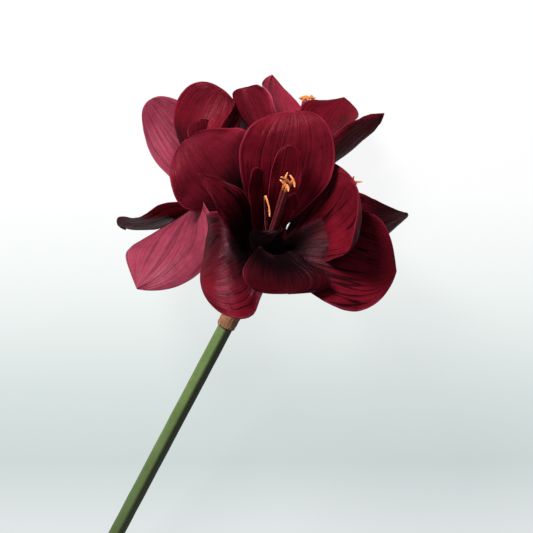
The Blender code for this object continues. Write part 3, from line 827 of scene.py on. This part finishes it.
def buildPetaloids():
    for number, (bloom, entries) in enumerate(petaloids.items()):
        blades = []
        for place, entry in enumerate(entries):
            usual = dict(usualPetaloid, seed=number * 8.0 + place * 1.3)
            sizes = bladeSizes(usual, "petaloid", "petaloid", entry)
            blades.append(grow(f"{bloom}_petaloid_{place}", tepalTree, sizes, bloomMatrix(bloom)))
        piece = joinPieces(blades)
        piece.name = bloom + "_inner_straps"
        dress(piece, "petaloid", bloom + "_petaloids")
    print("petaloids:", sum(len(entries) for entries in petaloids.values()))


buildTepals()
buildPetaloids()


# Stamens

usualStamens = {
    "spread": 4.0, "scatter": 3.0, "anther": 5.5, "filamentRadius": 1.9, "antherRadius": 1.25,
    "footRadius": 1.95, "footHeight": 1.0, "pollenSize": 0.17, "pollenDensity": 0.55, "count": 6,
}

stamens = {
    "front": {
        "azimuth": 90, "reach": 33, "height": 84, "spread": 3.4, "scatter": 2.2, "anther": 4.9, "seed": 4,
        "loose": {"number": 5, "tip": (-14.8, 25.8, 70.0), "way": (0.19, -0.98, 0.0), "length": 9.5},
    },
    "left": {"azimuth": 312, "reach": 32, "height": 66, "seed": 7},
    "back": {"azimuth": 282, "reach": 45, "height": 120, "spread": 5, "seed": 2, "anther": 4.0},
    "right": {"azimuth": 352, "reach": 44, "height": 92, "seed": 5},
}


# The round or flattened line that a thread is swept along, with its place round the thread stored.
def threadProfile(tree, sides, flatness):
    ring = placeNode(tree, "GeometryNodeCurvePrimitiveCircle", {"Resolution": sides, "Radius": 1.0})
    ring = storeOn(ring, "around", placeNode(tree, "GeometryNodeSplineParameter"))
    return placeNode(tree, "GeometryNodeTransform", {"Geometry": ring, "Scale": (1.0, flatness, 1.0)})


def sweep(line, radius, profile):
    tree = line.tree
    line = storeOn(line, "along", placeNode(tree, "GeometryNodeSplineParameter"))
    feeds = {"Curve": line, "Profile Curve": profile, "Scale": radius, "Fill Caps": True}
    mesh = placeNode(tree, "GeometryNodeCurveToMesh", feeds)
    uv = vector(tree, stored(tree, "around"), stored(tree, "along"), 0.0)
    return storeOn(mesh, "UVMap", uv, "CORNER", "FLOAT2")


# As many copies of a straight line as there are stamens, and the number of each.
def copiesOfLine(tree, steps, count):
    line = placeNode(tree, "GeometryNodeCurvePrimitiveLine")
    line = placeNode(tree, "GeometryNodeResampleCurve", {"Curve": line, "Count": steps})
    feeds = {"Geometry": line, "Amount": count}
    copies = placeNode(tree, "GeometryNodeDuplicateElements", feeds, domain="SPLINE")
    return copies, Wire(tree, copies.socket.node.outputs["Duplicate Index"])


# The points of the base mesh are the filaments' tips; foot, way, length and hang are stored on them.
def makeStamenTree():
    inputs = {
        "Geometry": "NodeSocketGeometry", "count": 6, "filamentRadius": 0.95, "antherRadius": 1.35,
        "pollenSize": 0.17, "pollenDensity": 0.55, "seed": 1,
        "filament": "NodeSocketMaterial", "anther": "NodeSocketMaterial", "pollen": "NodeSocketMaterial",
    }
    tree, given = newTree("stamenBundle", "GeometryNodeTree", inputs, {"Geometry": "NodeSocketGeometry"})
    tips = given["Geometry"]

    def atTip(value, number, kind="FLOAT_VECTOR"):
        feeds = {"Geometry": tips, "Value": value, "Index": number}
        return placeNode(tree, "GeometryNodeSampleIndex", feeds, data_type=kind)

    s = placeNode(tree, "GeometryNodeSplineParameter")
    lines, number = copiesOfLine(tree, 20, given["count"])
    foot = atTip(stored(tree, "foot", "FLOAT_VECTOR"), number)
    tip = atTip(currentPlace(tree), number)
    upright = vector(tree, 0.0, 0.0, parts(tip)[2] * 0.45)
    ends = (foot, foot + upright, tip - mathNode("MULTIPLY", tip, vector(tree, 0.45, 0.45, 0.35)), tip)
    lines = setPlace(lines, bezierWire(ends, s)[0])
    width = given["filamentRadius"] * (1.25 - s * 0.55)
    threads = paint(sweep(lines, width, threadProfile(tree, 12, 0.55)), given["filament"])

    # Each anther is a bent, two-lobed rod balanced on its filament.
    rods, number = copiesOfLine(tree, 16, given["count"])
    tip = atTip(currentPlace(tree), number)
    way = atTip(stored(tree, "way", "FLOAT_VECTOR"), number)
    length = atTip(stored(tree, "length"), number, "FLOAT")
    wayX, wayY, _ = parts(way)
    bent = vector(tree, wayY * -1.5, wayX * 1.5, 0.0)
    hang = atTip(stored(tree, "hang"), number, "FLOAT")
    half = way * length
    middle = tip + half * hang
    ends = (middle - half, middle - half * 0.3 + bent, middle + half * 0.3 + bent, middle + half)
    rods = setPlace(rods, bezierWire(ends, s)[0])
    belly = sine(s * math.pi)
    width = given["antherRadius"] * (0.35 + 0.65 * root(belly))
    width = width * (1.0 - hang * belly * belly * 0.4)
    lobed = threadProfile(tree, 20, 0.8)
    pinch = 1.0 - 0.28 * cosine(stored(tree, "around") * math.tau * 2.0)
    sacs = sweep(rods, width, setPlace(lobed, currentPlace(tree) * pinch))
    crumple = noise(tree, currentPlace(tree), 0.9, detail=2.0) * 0.22
    sacs = paint(swellBy(sacs, crumple), given["anther"])

    feeds = {"Mesh": sacs, "Density": given["pollenDensity"], "Seed": given["seed"]}
    spots = placeNode(tree, "GeometryNodeDistributePointsOnFaces", feeds)
    grain = placeNode(tree, "GeometryNodeMeshIcoSphere", {"Radius": given["pollenSize"], "Subdivisions": 1})
    grains = placeNode(tree, "GeometryNodeInstanceOnPoints", {"Points": spots, "Instance": grain})
    grains = paint(placeNode(tree, "GeometryNodeRealizeInstances", {"Geometry": grains}), given["pollen"])

    # The low disc that the filaments grow from.
    disc = placeNode(tree, "GeometryNodeMeshUVSphere", {"Segments": 28, "Rings": 14, "Radius": 1.0})
    feeds = {"Geometry": disc, "Scale": (3.0, 3.0, 0.85), "Translation": (0.0, 0.0, 1.0)}
    disc = paint(placeNode(tree, "GeometryNodeTransform", feeds), given["filament"])
    closeTree(tree, Geometry=finishMesh(joinAll(threads, sacs, grains, disc), "around", "along"))
    return tree


# Where the tips, feet and anthers are: the filaments lean together and part a little.
def tipMesh(bloom, plan):
    chance = np.random.default_rng(plan["seed"])
    rows = []
    for number in range(plan["count"]):
        around = math.tau * (number + 0.5) / plan["count"]
        parting = np.array([math.cos(around), math.sin(around), 0.0])
        turn = math.radians(plan["azimuth"])
        tip = np.array([plan["reach"] * math.cos(turn), plan["reach"] * math.sin(turn), plan["height"]])
        tip += plan["spread"] * parting + plan["scatter"] * chance.uniform(-1, 1, size=3) * (0.4, 0.4, 1.0)
        way = chance.normal(size=3) * (1.0, 1.0, 0.6)
        way /= np.linalg.norm(way)
        foot = plan["footRadius"] * parting + (0, 0, plan["footHeight"])
        rows.append((tip, foot, way, plan["anther"] * chance.uniform(0.85, 1.25), 0.0))
    # One anther may hang down from its filament.
    if "loose" in plan:
        loose = plan["loose"]
        foot = rows[loose["number"]][1]
        rows[loose["number"]] = (loose["tip"], foot, loose["way"], loose["length"], 1.0)
    mesh = bpy.data.meshes.new(bloom + "_tips")
    mesh.from_pydata([row[0] for row in rows], [], [])
    for name, column in (("foot", 1), ("way", 2)):
        layer = mesh.attributes.new(name, "FLOAT_VECTOR", "POINT")
        layer.data.foreach_set("vector", np.array([row[column] for row in rows], np.float32).ravel())
    for name, column in (("length", 3), ("hang", 4)):
        layer = mesh.attributes.new(name, "FLOAT", "POINT")
        layer.data.foreach_set("value", np.array([row[column] for row in rows], np.float32))
    return mesh


# The filament's foot colour is painted shade, near black, for the part that lies deep in the throat.
stamenLooks = {
    "filament": {
        "dark": (0.09, 0.004, 0.009, 1), "light": (0.20, 0.008, 0.016, 1), "foot": (0.012, 0.002, 0.003, 1),
        "tip": (0.66, 0.20, 0.05, 1),
    },
    "anther": {"dark": (0.50, 0.13, 0.030, 1), "light": (0.80, 0.27, 0.075, 1), "roughness": 0.6},
    "pollen": {"dark": (0.72, 0.30, 0.09, 1), "light": (0.90, 0.50, 0.22, 1), "roughness": 0.85},
    "antherEnds": (0.86, 0.50, 0.27, 1),
}


def makeFilamentMaterial(look):
    material, tree, shader, place, around, along = newMaterial(
        "redFilament", {"Roughness": 0.38, "Specular IOR Level": 0.4, "Sheen Weight": 0.1},
    )
    blotches = useGroup(tree, blotchGroup, {"Place": place, "Broad": 90.0, "Small": 700.0})
    colour = mixColour(blotches["Blotch"], look["dark"], look["light"])
    # Painted shade: the filament turns near black towards its foot, inside the shaded throat.
    colour = mixColour(1.0 - rising(along, 0.05, 0.6), colour, look["foot"])
    colour = mixColour(rising(along, 0.93, 0.985), colour, look["tip"])
    feed(tree, colour, shader.inputs["Base Color"])
    grooves = size(sine(around * math.tau * 3.0))
    raiseBump(tree, shader, grooves * 0.5 + blotches["Grain"] * 0.3, 0.0002)
    return material


def makeAntherMaterial(title, look):
    material, tree, shader, place, around, along = newMaterial(
        title, {"Roughness": look["roughness"], "Specular IOR Level": 0.3},
    )
    blotches = useGroup(tree, blotchGroup, {"Place": place, "Broad": 260.0, "Small": 1500.0})
    ends = rising(size(along * 2.0 - 1.0), 0.55, 0.98)
    colour = mixColour(blotches["Blotch"], look["dark"], look["light"])
    colour = mixColour(ends * 0.6, colour, stamenLooks["antherEnds"])
    feed(tree, colour, shader.inputs["Base Color"])
    raiseBump(tree, shader, blotches["Grain"], 0.0003)
    return material


def buildStamens():
    tree = makeStamenTree()
    materials = {
        "filament": makeFilamentMaterial(stamenLooks["filament"]),
        "anther": makeAntherMaterial("orangeAnther", stamenLooks["anther"]),
        "pollen": makeAntherMaterial("palePollen", stamenLooks["pollen"]),
    }
    for bloom, entry in stamens.items():
        plan = dict(usualStamens, **entry)
        sizes = dict(plan, **materials)
        piece = grow(bloom + "_stamen_bundle", tree, sizes, bloomMatrix(bloom), tipMesh(bloom, plan))
        dress(piece, "stamen", bloom + "_stamens")
    print("stamens:", len(stamens), "bundles")


buildStamens()


# Scape and flower stalks

scape = {
    "length": 380.0, "radius": 7.2, "slope": 17.0, "steps": 220, "sides": 64,
    "lobes": 5.0, "lobeDepth": 0.32, "lobeStart": -0.2, "lobeEnd": 1.2, "unevenness": 0.28,
    "turnShare": 0.999,
}

stalk = {
    "offset": 4.3, "start": 1.4, "startPull": 28.0, "outward": 0.45, "endPull": 46.0, "mouthGap": 0.4,
    "mouthDepth": 8.0,
    "steps": 90, "sides": 48, "lobes": 3.0, "lobeDepth": 0.55, "lobeStart": 0.5, "lobeEnd": 0.86,
    "unevenness": 0.2, "turnShare": 0.93,
}

# Share of the way from the umbel to the mouth, and the radius there: stalk, ovary, floral tube, mouth.
stalkProfile = (
    (0.0, 2.8), (0.12, 3.1), (0.31, 3.9), (0.50, 4.2), (0.575, 6.1), (0.66, 7.0), (0.74, 6.1), (0.83, 5.3),
    (0.93, 6.6), (1.0, 10.0),
)


def scapeWay():
    slope, turn = math.radians(scape["slope"]), math.radians(head["turn"])
    return Vector((math.sin(turn) * math.cos(slope), math.cos(turn) * math.cos(slope), math.sin(slope)))


def readProfile(value, points, top):
    node = value.tree.nodes.new("ShaderNodeFloatCurve")
    line = node.mapping.curves[0]
    line.points[0].location = (points[0][0], points[0][1] / top)
    line.points[1].location = (points[-1][0], points[-1][1] / top)
    for share, radius in points[1:-1]:
        line.points.new(share, radius / top)
    node.mapping.update()
    feed(value.tree, value, node.inputs["Value"])
    return Wire(value.tree, node.outputs[0]) * top


# A stalk follows a cubic curve up to the turn share, then goes straight on to its mouth.
def makeStalkTree(title, profile):
    point = (0.0, 0.0, 0.0)
    inputs = {
        "start": point, "startHandle": point, "endHandle": point, "end": point, "mouth": point,
        "turnShare": 0.93, "steps": 90, "sides": 48, "lobes": 3.0, "lobeDepth": 0.5, "lobeStart": 0.5,
        "lobeEnd": 0.9, "unevenness": 0.2,
        "material": "NodeSocketMaterial", "cutMaterial": "NodeSocketMaterial",
    }
    tree, given = newTree(title, "GeometryNodeTree", inputs, {"Geometry": "NodeSocketGeometry"})
    line = placeNode(tree, "GeometryNodeCurvePrimitiveLine")
    line = placeNode(tree, "GeometryNodeResampleCurve", {"Curve": line, "Count": given["steps"]})
    s = placeNode(tree, "GeometryNodeSplineParameter")
    turnShare = given["turnShare"]
    bend = smaller(s / turnShare, 1.0)
    straight = larger((s - turnShare) / (1.0 - turnShare), 0.0)
    ends = (given["start"], given["startHandle"], given["endHandle"], given["end"])
    line = setPlace(line, bezierWire(ends, bend)[0] + (given["mouth"] - given["end"]) * straight)
    skin = sweep(line, readProfile(s, profile, 10.0), threadProfile(tree, given["sides"], 1.0))
    around, along = stored(tree, "around"), stored(tree, "along")
    belly = rising(along, given["lobeStart"], given["lobeStart"] + 0.08)
    belly = belly * (1.0 - rising(along, given["lobeEnd"] - 0.1, given["lobeEnd"]))
    lobes = given["lobeDepth"] * cosine(around * math.tau * given["lobes"]) * belly
    uneven = noise(tree, currentPlace(tree), 0.045, detail=2.0) * given["unevenness"]
    ends = rising(along, 0.0, 0.01) * (1.0 - rising(along, 0.99, 1.0))
    skin = paint(swellBy(skin, (lobes + uneven) * ends), given["material"])
    away = mathNode("NORMALIZE", given["start"] - given["startHandle"])
    facing = mathNode("DOT_PRODUCT", placeNode(tree, "GeometryNodeInputNormal"), away)
    isCut = mathNode("GREATER_THAN", facing, 0.9) * mathNode("LESS_THAN", along, 0.02)
    feeds = {"Geometry": skin, "Selection": isCut, "Material": given["cutMaterial"]}
    skin = placeNode(tree, "GeometryNodeSetMaterial", feeds)
    closeTree(tree, Geometry=finishMesh(skin, "around", "along"))
    return tree


# The side colour is painted shade on the side of a stem away from the light.
greenLooks = {
    "scape": {
        "dark": (0.085, 0.135, 0.036, 1), "light": (0.165, 0.245, 0.085, 1), "streak": (0.25, 0.33, 0.15, 1),
        "far": (0.060, 0.085, 0.032, 1), "farShare": 0.6, "nick": 0.8,
        "side": (0.030, 0.034, 0.012, 1), "shadedSideShare": 0.85, "shadedSideAt": 0.0,
    },
    "stalk": {
        "dark": (0.075, 0.095, 0.022, 1), "light": (0.15, 0.17, 0.05, 1), "streak": (0.21, 0.21, 0.09, 1),
        "far": (0.11, 0.012, 0.016, 1), "farShare": 1.0, "nick": 0.2,
        "side": (0.06, 0.06, 0.02, 1), "shadedSideShare": 0.3, "shadedSideAt": 0.0,
    },
    "nickColour": (0.36, 0.38, 0.22, 1),
    "pith": {"dark": (0.34, 0.42, 0.20, 1), "light": (0.58, 0.62, 0.40, 1)},
}


# Waxy green with fine lengthwise streaks and small pale nicks; it changes colour towards its far part, and
# one side is painted darker as shade.
def makeGreenMaterial(title, look, farStart, farEnd):
    material, tree, shader, place, around, along = newMaterial(
        title, {"Roughness": 0.4, "Specular IOR Level": 0.4, "Coat Weight": 0.08, "Coat Roughness": 0.3},
    )
    blotches = useGroup(tree, blotchGroup, {"Place": place, "Broad": 18.0, "Small": 300.0})
    ring = onRing(tree, around, 5.0, along * 2.5)
    streaks = noise(tree, ring, 1.6, detail=4.0, roughness=0.65)
    nicks = noise(tree, place, 95.0, detail=1.0)
    colour = mixColour(blotches["Blotch"], look["dark"], look["light"])
    colour = mixColour(rising(streaks, 0.0, 0.7) * 0.6, colour, look["streak"])
    # Painted shade: the side away from the key light is darkened, strongly on the scape and a little on the
    # stalks.
    side = cosine((around - look["shadedSideAt"]) * math.tau)
    colour = mixColour(rising(side, -0.05, 0.35) * look["shadedSideShare"], colour, look["side"])
    far = placeNode(tree, "ShaderNodeMapRange", {"Value": along, "From Min": farStart, "From Max": farEnd})
    colour = mixColour(far * look["farShare"], colour, look["far"])
    colour = mixColour(rising(nicks, 0.62, 0.72) * look["nick"], colour, greenLooks["nickColour"])
    feed(tree, colour, shader.inputs["Base Color"])
    feed(tree, 0.4 + blotches["Grain"] * 0.08, shader.inputs["Roughness"])
    raiseBump(tree, shader, streaks * 0.6 + blotches["Grain"] * 0.25, 0.0003)
    return material


def makeCutMaterial():
    constants = {"Roughness": 0.55, "Specular IOR Level": 0.4}
    material, tree, shader, place, _, _ = newMaterial("cutPith", constants)
    blotches = useGroup(tree, blotchGroup, {"Place": place, "Broad": 300.0, "Small": 1400.0})
    colour = mixColour(blotches["Blotch"], greenLooks["pith"]["dark"], greenLooks["pith"]["light"])
    feed(tree, colour, shader.inputs["Base Color"])
    raiseBump(tree, shader, blotches["Grain"], 0.0004)
    return material


def buildScape():
    way = scapeWay()
    start, end = way * -scape["length"], way * -0.4
    radius = scape["radius"]
    sizes = {
        **scape, "start": start, "startHandle": start.lerp(end, 1 / 3), "endHandle": start.lerp(end, 2 / 3),
        "end": start.lerp(end, 0.999), "mouth": end,
        "material": makeGreenMaterial("scapeGreen", greenLooks["scape"], 0.75, 0.35),
        "cutMaterial": makeCutMaterial(),
    }
    tree = makeStalkTree("scapeStem", ((0.0, radius), (0.5, radius * 0.99), (1.0, radius * 0.97)))
    piece = grow("scape_stem", tree, sizes, toMetres(headMatrix()))
    dress(piece, "scape", "scape")
    print("scape built")


def buildStalks():
    way = scapeWay()
    tree = makeStalkTree("flowerStalk", stalkProfile)
    green = makeGreenMaterial("stalkGreen", greenLooks["stalk"], 0.72, 0.97)
    for name, bloom in blooms.items():
        outward = Vector(bloom["out"])
        outward = (outward - way * way.dot(outward)).normalized()
        axis = Vector(bloom["axis"]).normalized()
        base = Vector(bloom["base"])
        start = outward * stalk["offset"] + way * stalk["start"]
        sizes = {
            **stalk, "start": start,
            "startHandle": start + (way + outward * stalk["outward"]) * stalk["startPull"],
            "endHandle": base - axis * stalk["endPull"], "end": base - axis * stalk["mouthDepth"],
            "mouth": base - axis * stalk["mouthGap"], "material": green, "cutMaterial": green,
        }
        piece = grow(name + "_flower_stalk", tree, sizes, toMetres(headMatrix()))
        dress(piece, "tube", name + "_tube")
    print("flower stalks:", len(blooms))


buildScape()
buildStalks()


# Spathe

spathe = {
    "radius": 7.75, "height": 25.0, "ragged": 2.4, "tear": 2.2, "wrinkle": 0.55, "flare": 1.0,
    "thickness": 0.5, "rows": 61, "columns": 161, "seed": 3.0,
}


# A dry film wrapped round the top of the scape: wrinkled lengthwise, ragged above and torn below.
def makeSpatheTree():
    inputs = dict(spathe, material="NodeSocketMaterial")
    tree, given = newTree("spatheFilm", "GeometryNodeTree", inputs, {"Geometry": "NodeSocketGeometry"})
    rows, columns = given["rows"], given["columns"]
    grid = placeNode(tree, "GeometryNodeMeshGrid", {"Vertices X": columns, "Vertices Y": rows})
    x, y, _ = parts(currentPlace(tree))
    turns = x + 0.5
    angle = turns * math.tau
    share = y + 0.5
    ring = onRing(tree, turns, 1.0, given["seed"])
    upper = sine(angle * 3.0 + 0.6) + sine(angle * 7.0) * 0.5 + noise(tree, ring, 5.0, detail=3.0)
    lower = noise(tree, ring, 1.6, detail=4.0)
    drop = share * (given["height"] + 1.0) - given["height"]
    drop = drop + given["ragged"] * upper * share ** 3.0 + given["tear"] * lower * (1.0 - share) ** 2.0
    lengthwise = noise(tree, onRing(tree, turns, 4.0, share * 1.6), detail=3.0)
    swirl = noise(tree, onRing(tree, turns, 1.6, share * 3.4), detail=2.0)
    folds = 1.0 - size(lengthwise + swirl * 0.8) * 1.6
    radius = given["radius"] + 0.35 + given["wrinkle"] * folds + given["flare"] * share * share
    radius = radius + 0.35 * (1.0 - rising(share, 0.0, 0.12)) * size(lower)
    half = root(larger(1.0 - (share * 2.0 - 1.0) ** 8.0, 0.0)) * given["thickness"] * 0.5
    film = storeOn(grid, "halfThickness", half)
    film = storeOn(film, "UVMap", vector(tree, turns, share, 0.0), "CORNER", "FLOAT2")
    film = setPlace(film, onRing(tree, turns, radius, drop))
    film = placeNode(tree, "GeometryNodeMergeByDistance", {"Geometry": film, "Distance": 0.001})
    closeTree(tree, Geometry=thickenSheet(film, "halfThickness", given["material"]))
    return tree


paperLook = {
    "dark": (0.13, 0.042, 0.017, 1), "light": (0.36, 0.155, 0.080, 1), "fibre": (0.46, 0.27, 0.16, 1),
    "lowerEdge": (0.17, 0.045, 0.02, 1),
}


def makePaperMaterial():
    material, tree, shader, place, around, along = newMaterial(
        "driedPaper", {"Roughness": 0.42, "Specular IOR Level": 0.45, "Sheen Weight": 0.15},
    )
    blotches = useGroup(tree, blotchGroup, {"Place": place, "Broad": 120.0, "Small": 900.0})
    fibres = noise(tree, onRing(tree, around, 4.0, along * 1.2), 3.0, detail=5.0, roughness=0.7)
    colour = mixColour(blotches["Blotch"], paperLook["dark"], paperLook["light"])
    colour = mixColour(rising(fibres, 0.0, 0.6) * 0.7, colour, paperLook["fibre"])
    colour = mixColour((1.0 - rising(along, 0.0, 0.06)) * 0.6, colour, paperLook["lowerEdge"])
    feed(tree, colour, shader.inputs["Base Color"])
    raiseBump(tree, shader, fibres * 0.7 + blotches["Grain"] * 0.3, 0.0005)
    return material


def buildSpathe():
    matrix = toMetres(headMatrix() @ axisMatrix(scapeWay(), (1, 0, 0), (0, 0, 0)))
    piece = grow("papery_spathe", makeSpatheTree(), dict(spathe, material=makePaperMaterial()), matrix)
    dress(piece, "spathe", "spathe")
    print("spathe built")


buildSpathe()


# Camera, floor and light

# The camera's place from the head's centre in millimetres, and its lens.
view = {"right": 7.4, "up": 42.0, "away": 1300.0, "lens": 95.4, "sensor": 36.0}


def buildCamera():
    data = bpy.data.cameras.new("photoCamera")
    data.lens = view["lens"]
    data.sensor_width = view["sensor"]
    camera = bpy.data.objects.new("photoCamera", data)
    bpy.context.scene.collection.objects.link(camera)
    x, y, z = head["centre"]
    camera.location = Vector((x + view["right"], y + view["up"], z + view["away"])) * 0.001
    camera.rotation_euler = (0.0, 0.0, math.radians(head["turn"]))
    bpy.context.scene.camera = camera


buildCamera()

# Each light's place is in metres from the head: to the photo's right, up and towards the eye.
lights = {
    "key": {"from": (-0.55, 0.95, 0.95), "size": 0.45, "power": 36.0, "colour": (1.0, 0.985, 0.96)},
    "front": {"from": (-0.5, 0.1, 1.5), "size": 0.9, "power": 3.0, "colour": (0.97, 0.985, 1.0)},
}


skyLight = {"colour": (0.93, 0.97, 1.0, 1.0), "strength": 0.16}


def buildLights():
    middle = Vector(head["centre"]) * 0.001
    turn = Matrix.Rotation(math.radians(head["turn"]), 3, "Z")
    for name, light in lights.items():
        data = bpy.data.lights.new(name + "Light", "AREA")
        data.size = light["size"]
        data.energy = light["power"]
        data.color = light["colour"]
        lamp = bpy.data.objects.new(name + "Light", data)
        bpy.context.scene.collection.objects.link(lamp)
        away = turn @ Vector(light["from"])
        lamp.location = middle + away
        lamp.rotation_euler = away.to_track_quat("Z", "Y").to_euler()
    world = bpy.data.worlds.new("studioLight")
    world.use_nodes = True
    sky = world.node_tree.nodes["Background"]
    sky.inputs["Color"].default_value = skyLight["colour"]
    sky.inputs["Strength"].default_value = skyLight["strength"]
    bpy.context.scene.world = world


buildLights()

# The floor glows for the camera, and less for the petals, so that they don't mirror it as a grey veil.
floorLook = {
    "size": 8.0, "glow": 0.93, "glowOnPetals": 0.30, "frameSide": 0.535, "paint": (0.07, 0.07, 0.07, 1.0),
    # Share of the way down the photo's frame, and the floor's colour there.
    "bands": ((0.0, (0.98, 0.99, 0.98)), (0.38, (0.97, 0.98, 0.975)), (0.56, (0.86, 0.90, 0.89)),
              (0.75, (0.68, 0.75, 0.74)), (0.88, (0.61, 0.69, 0.68)), (1.0, (0.74, 0.78, 0.79))),
}


def buildFloor():
    constants = {"Roughness": 0.9, "Specular IOR Level": 0.1}
    material, tree, shader, place, _, _ = newMaterial("paleFloor", constants)
    ramp = tree.nodes.new("ShaderNodeValToRGB")
    stops = ramp.color_ramp.elements
    while len(stops) < len(floorLook["bands"]):
        stops.new(0.5)
    for stop, (share, colour) in zip(stops, floorLook["bands"]):
        stop.position = share
        stop.color = (*colour, 1.0)
    turn = math.radians(head["turn"])
    x, y, _ = parts(place)
    upwards = y * math.cos(turn) - x * math.sin(turn)
    middle = (head["centre"][1] * math.cos(turn) - head["centre"][0] * math.sin(turn) + view["up"]) * 0.001
    feed(tree, 0.5 - (upwards - middle) / floorLook["frameSide"], ramp.inputs[0])
    colour = Wire(tree, ramp.outputs[0])
    feed(tree, colour, shader.inputs["Emission Color"])
    seen = placeNode(tree, "ShaderNodeLightPath")
    glow = seen * (floorLook["glow"] - floorLook["glowOnPetals"]) + floorLook["glowOnPetals"]
    feed(tree, glow, shader.inputs["Emission Strength"])
    feed(tree, mixColour(1.0, colour, floorLook["paint"], "MULTIPLY"), shader.inputs["Base Color"])
    side = floorLook["size"] / 2
    mesh = bpy.data.meshes.new("paleFloor")
    corners = [(-side, -side, 0), (side, -side, 0), (side, side, 0), (-side, side, 0)]
    mesh.from_pydata(corners, [], [(0, 1, 2, 3)])
    mesh.materials.append(material)
    mesh.transform(Matrix.Translation((0.0, 0.0, min(0.0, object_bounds()[0][2]))))
    floor = bpy.data.objects.new("paleFloor", mesh)
    bpy.context.scene.collection.objects.link(floor)


buildFloor()
bpy.context.scene.view_settings.view_transform = "Standard"
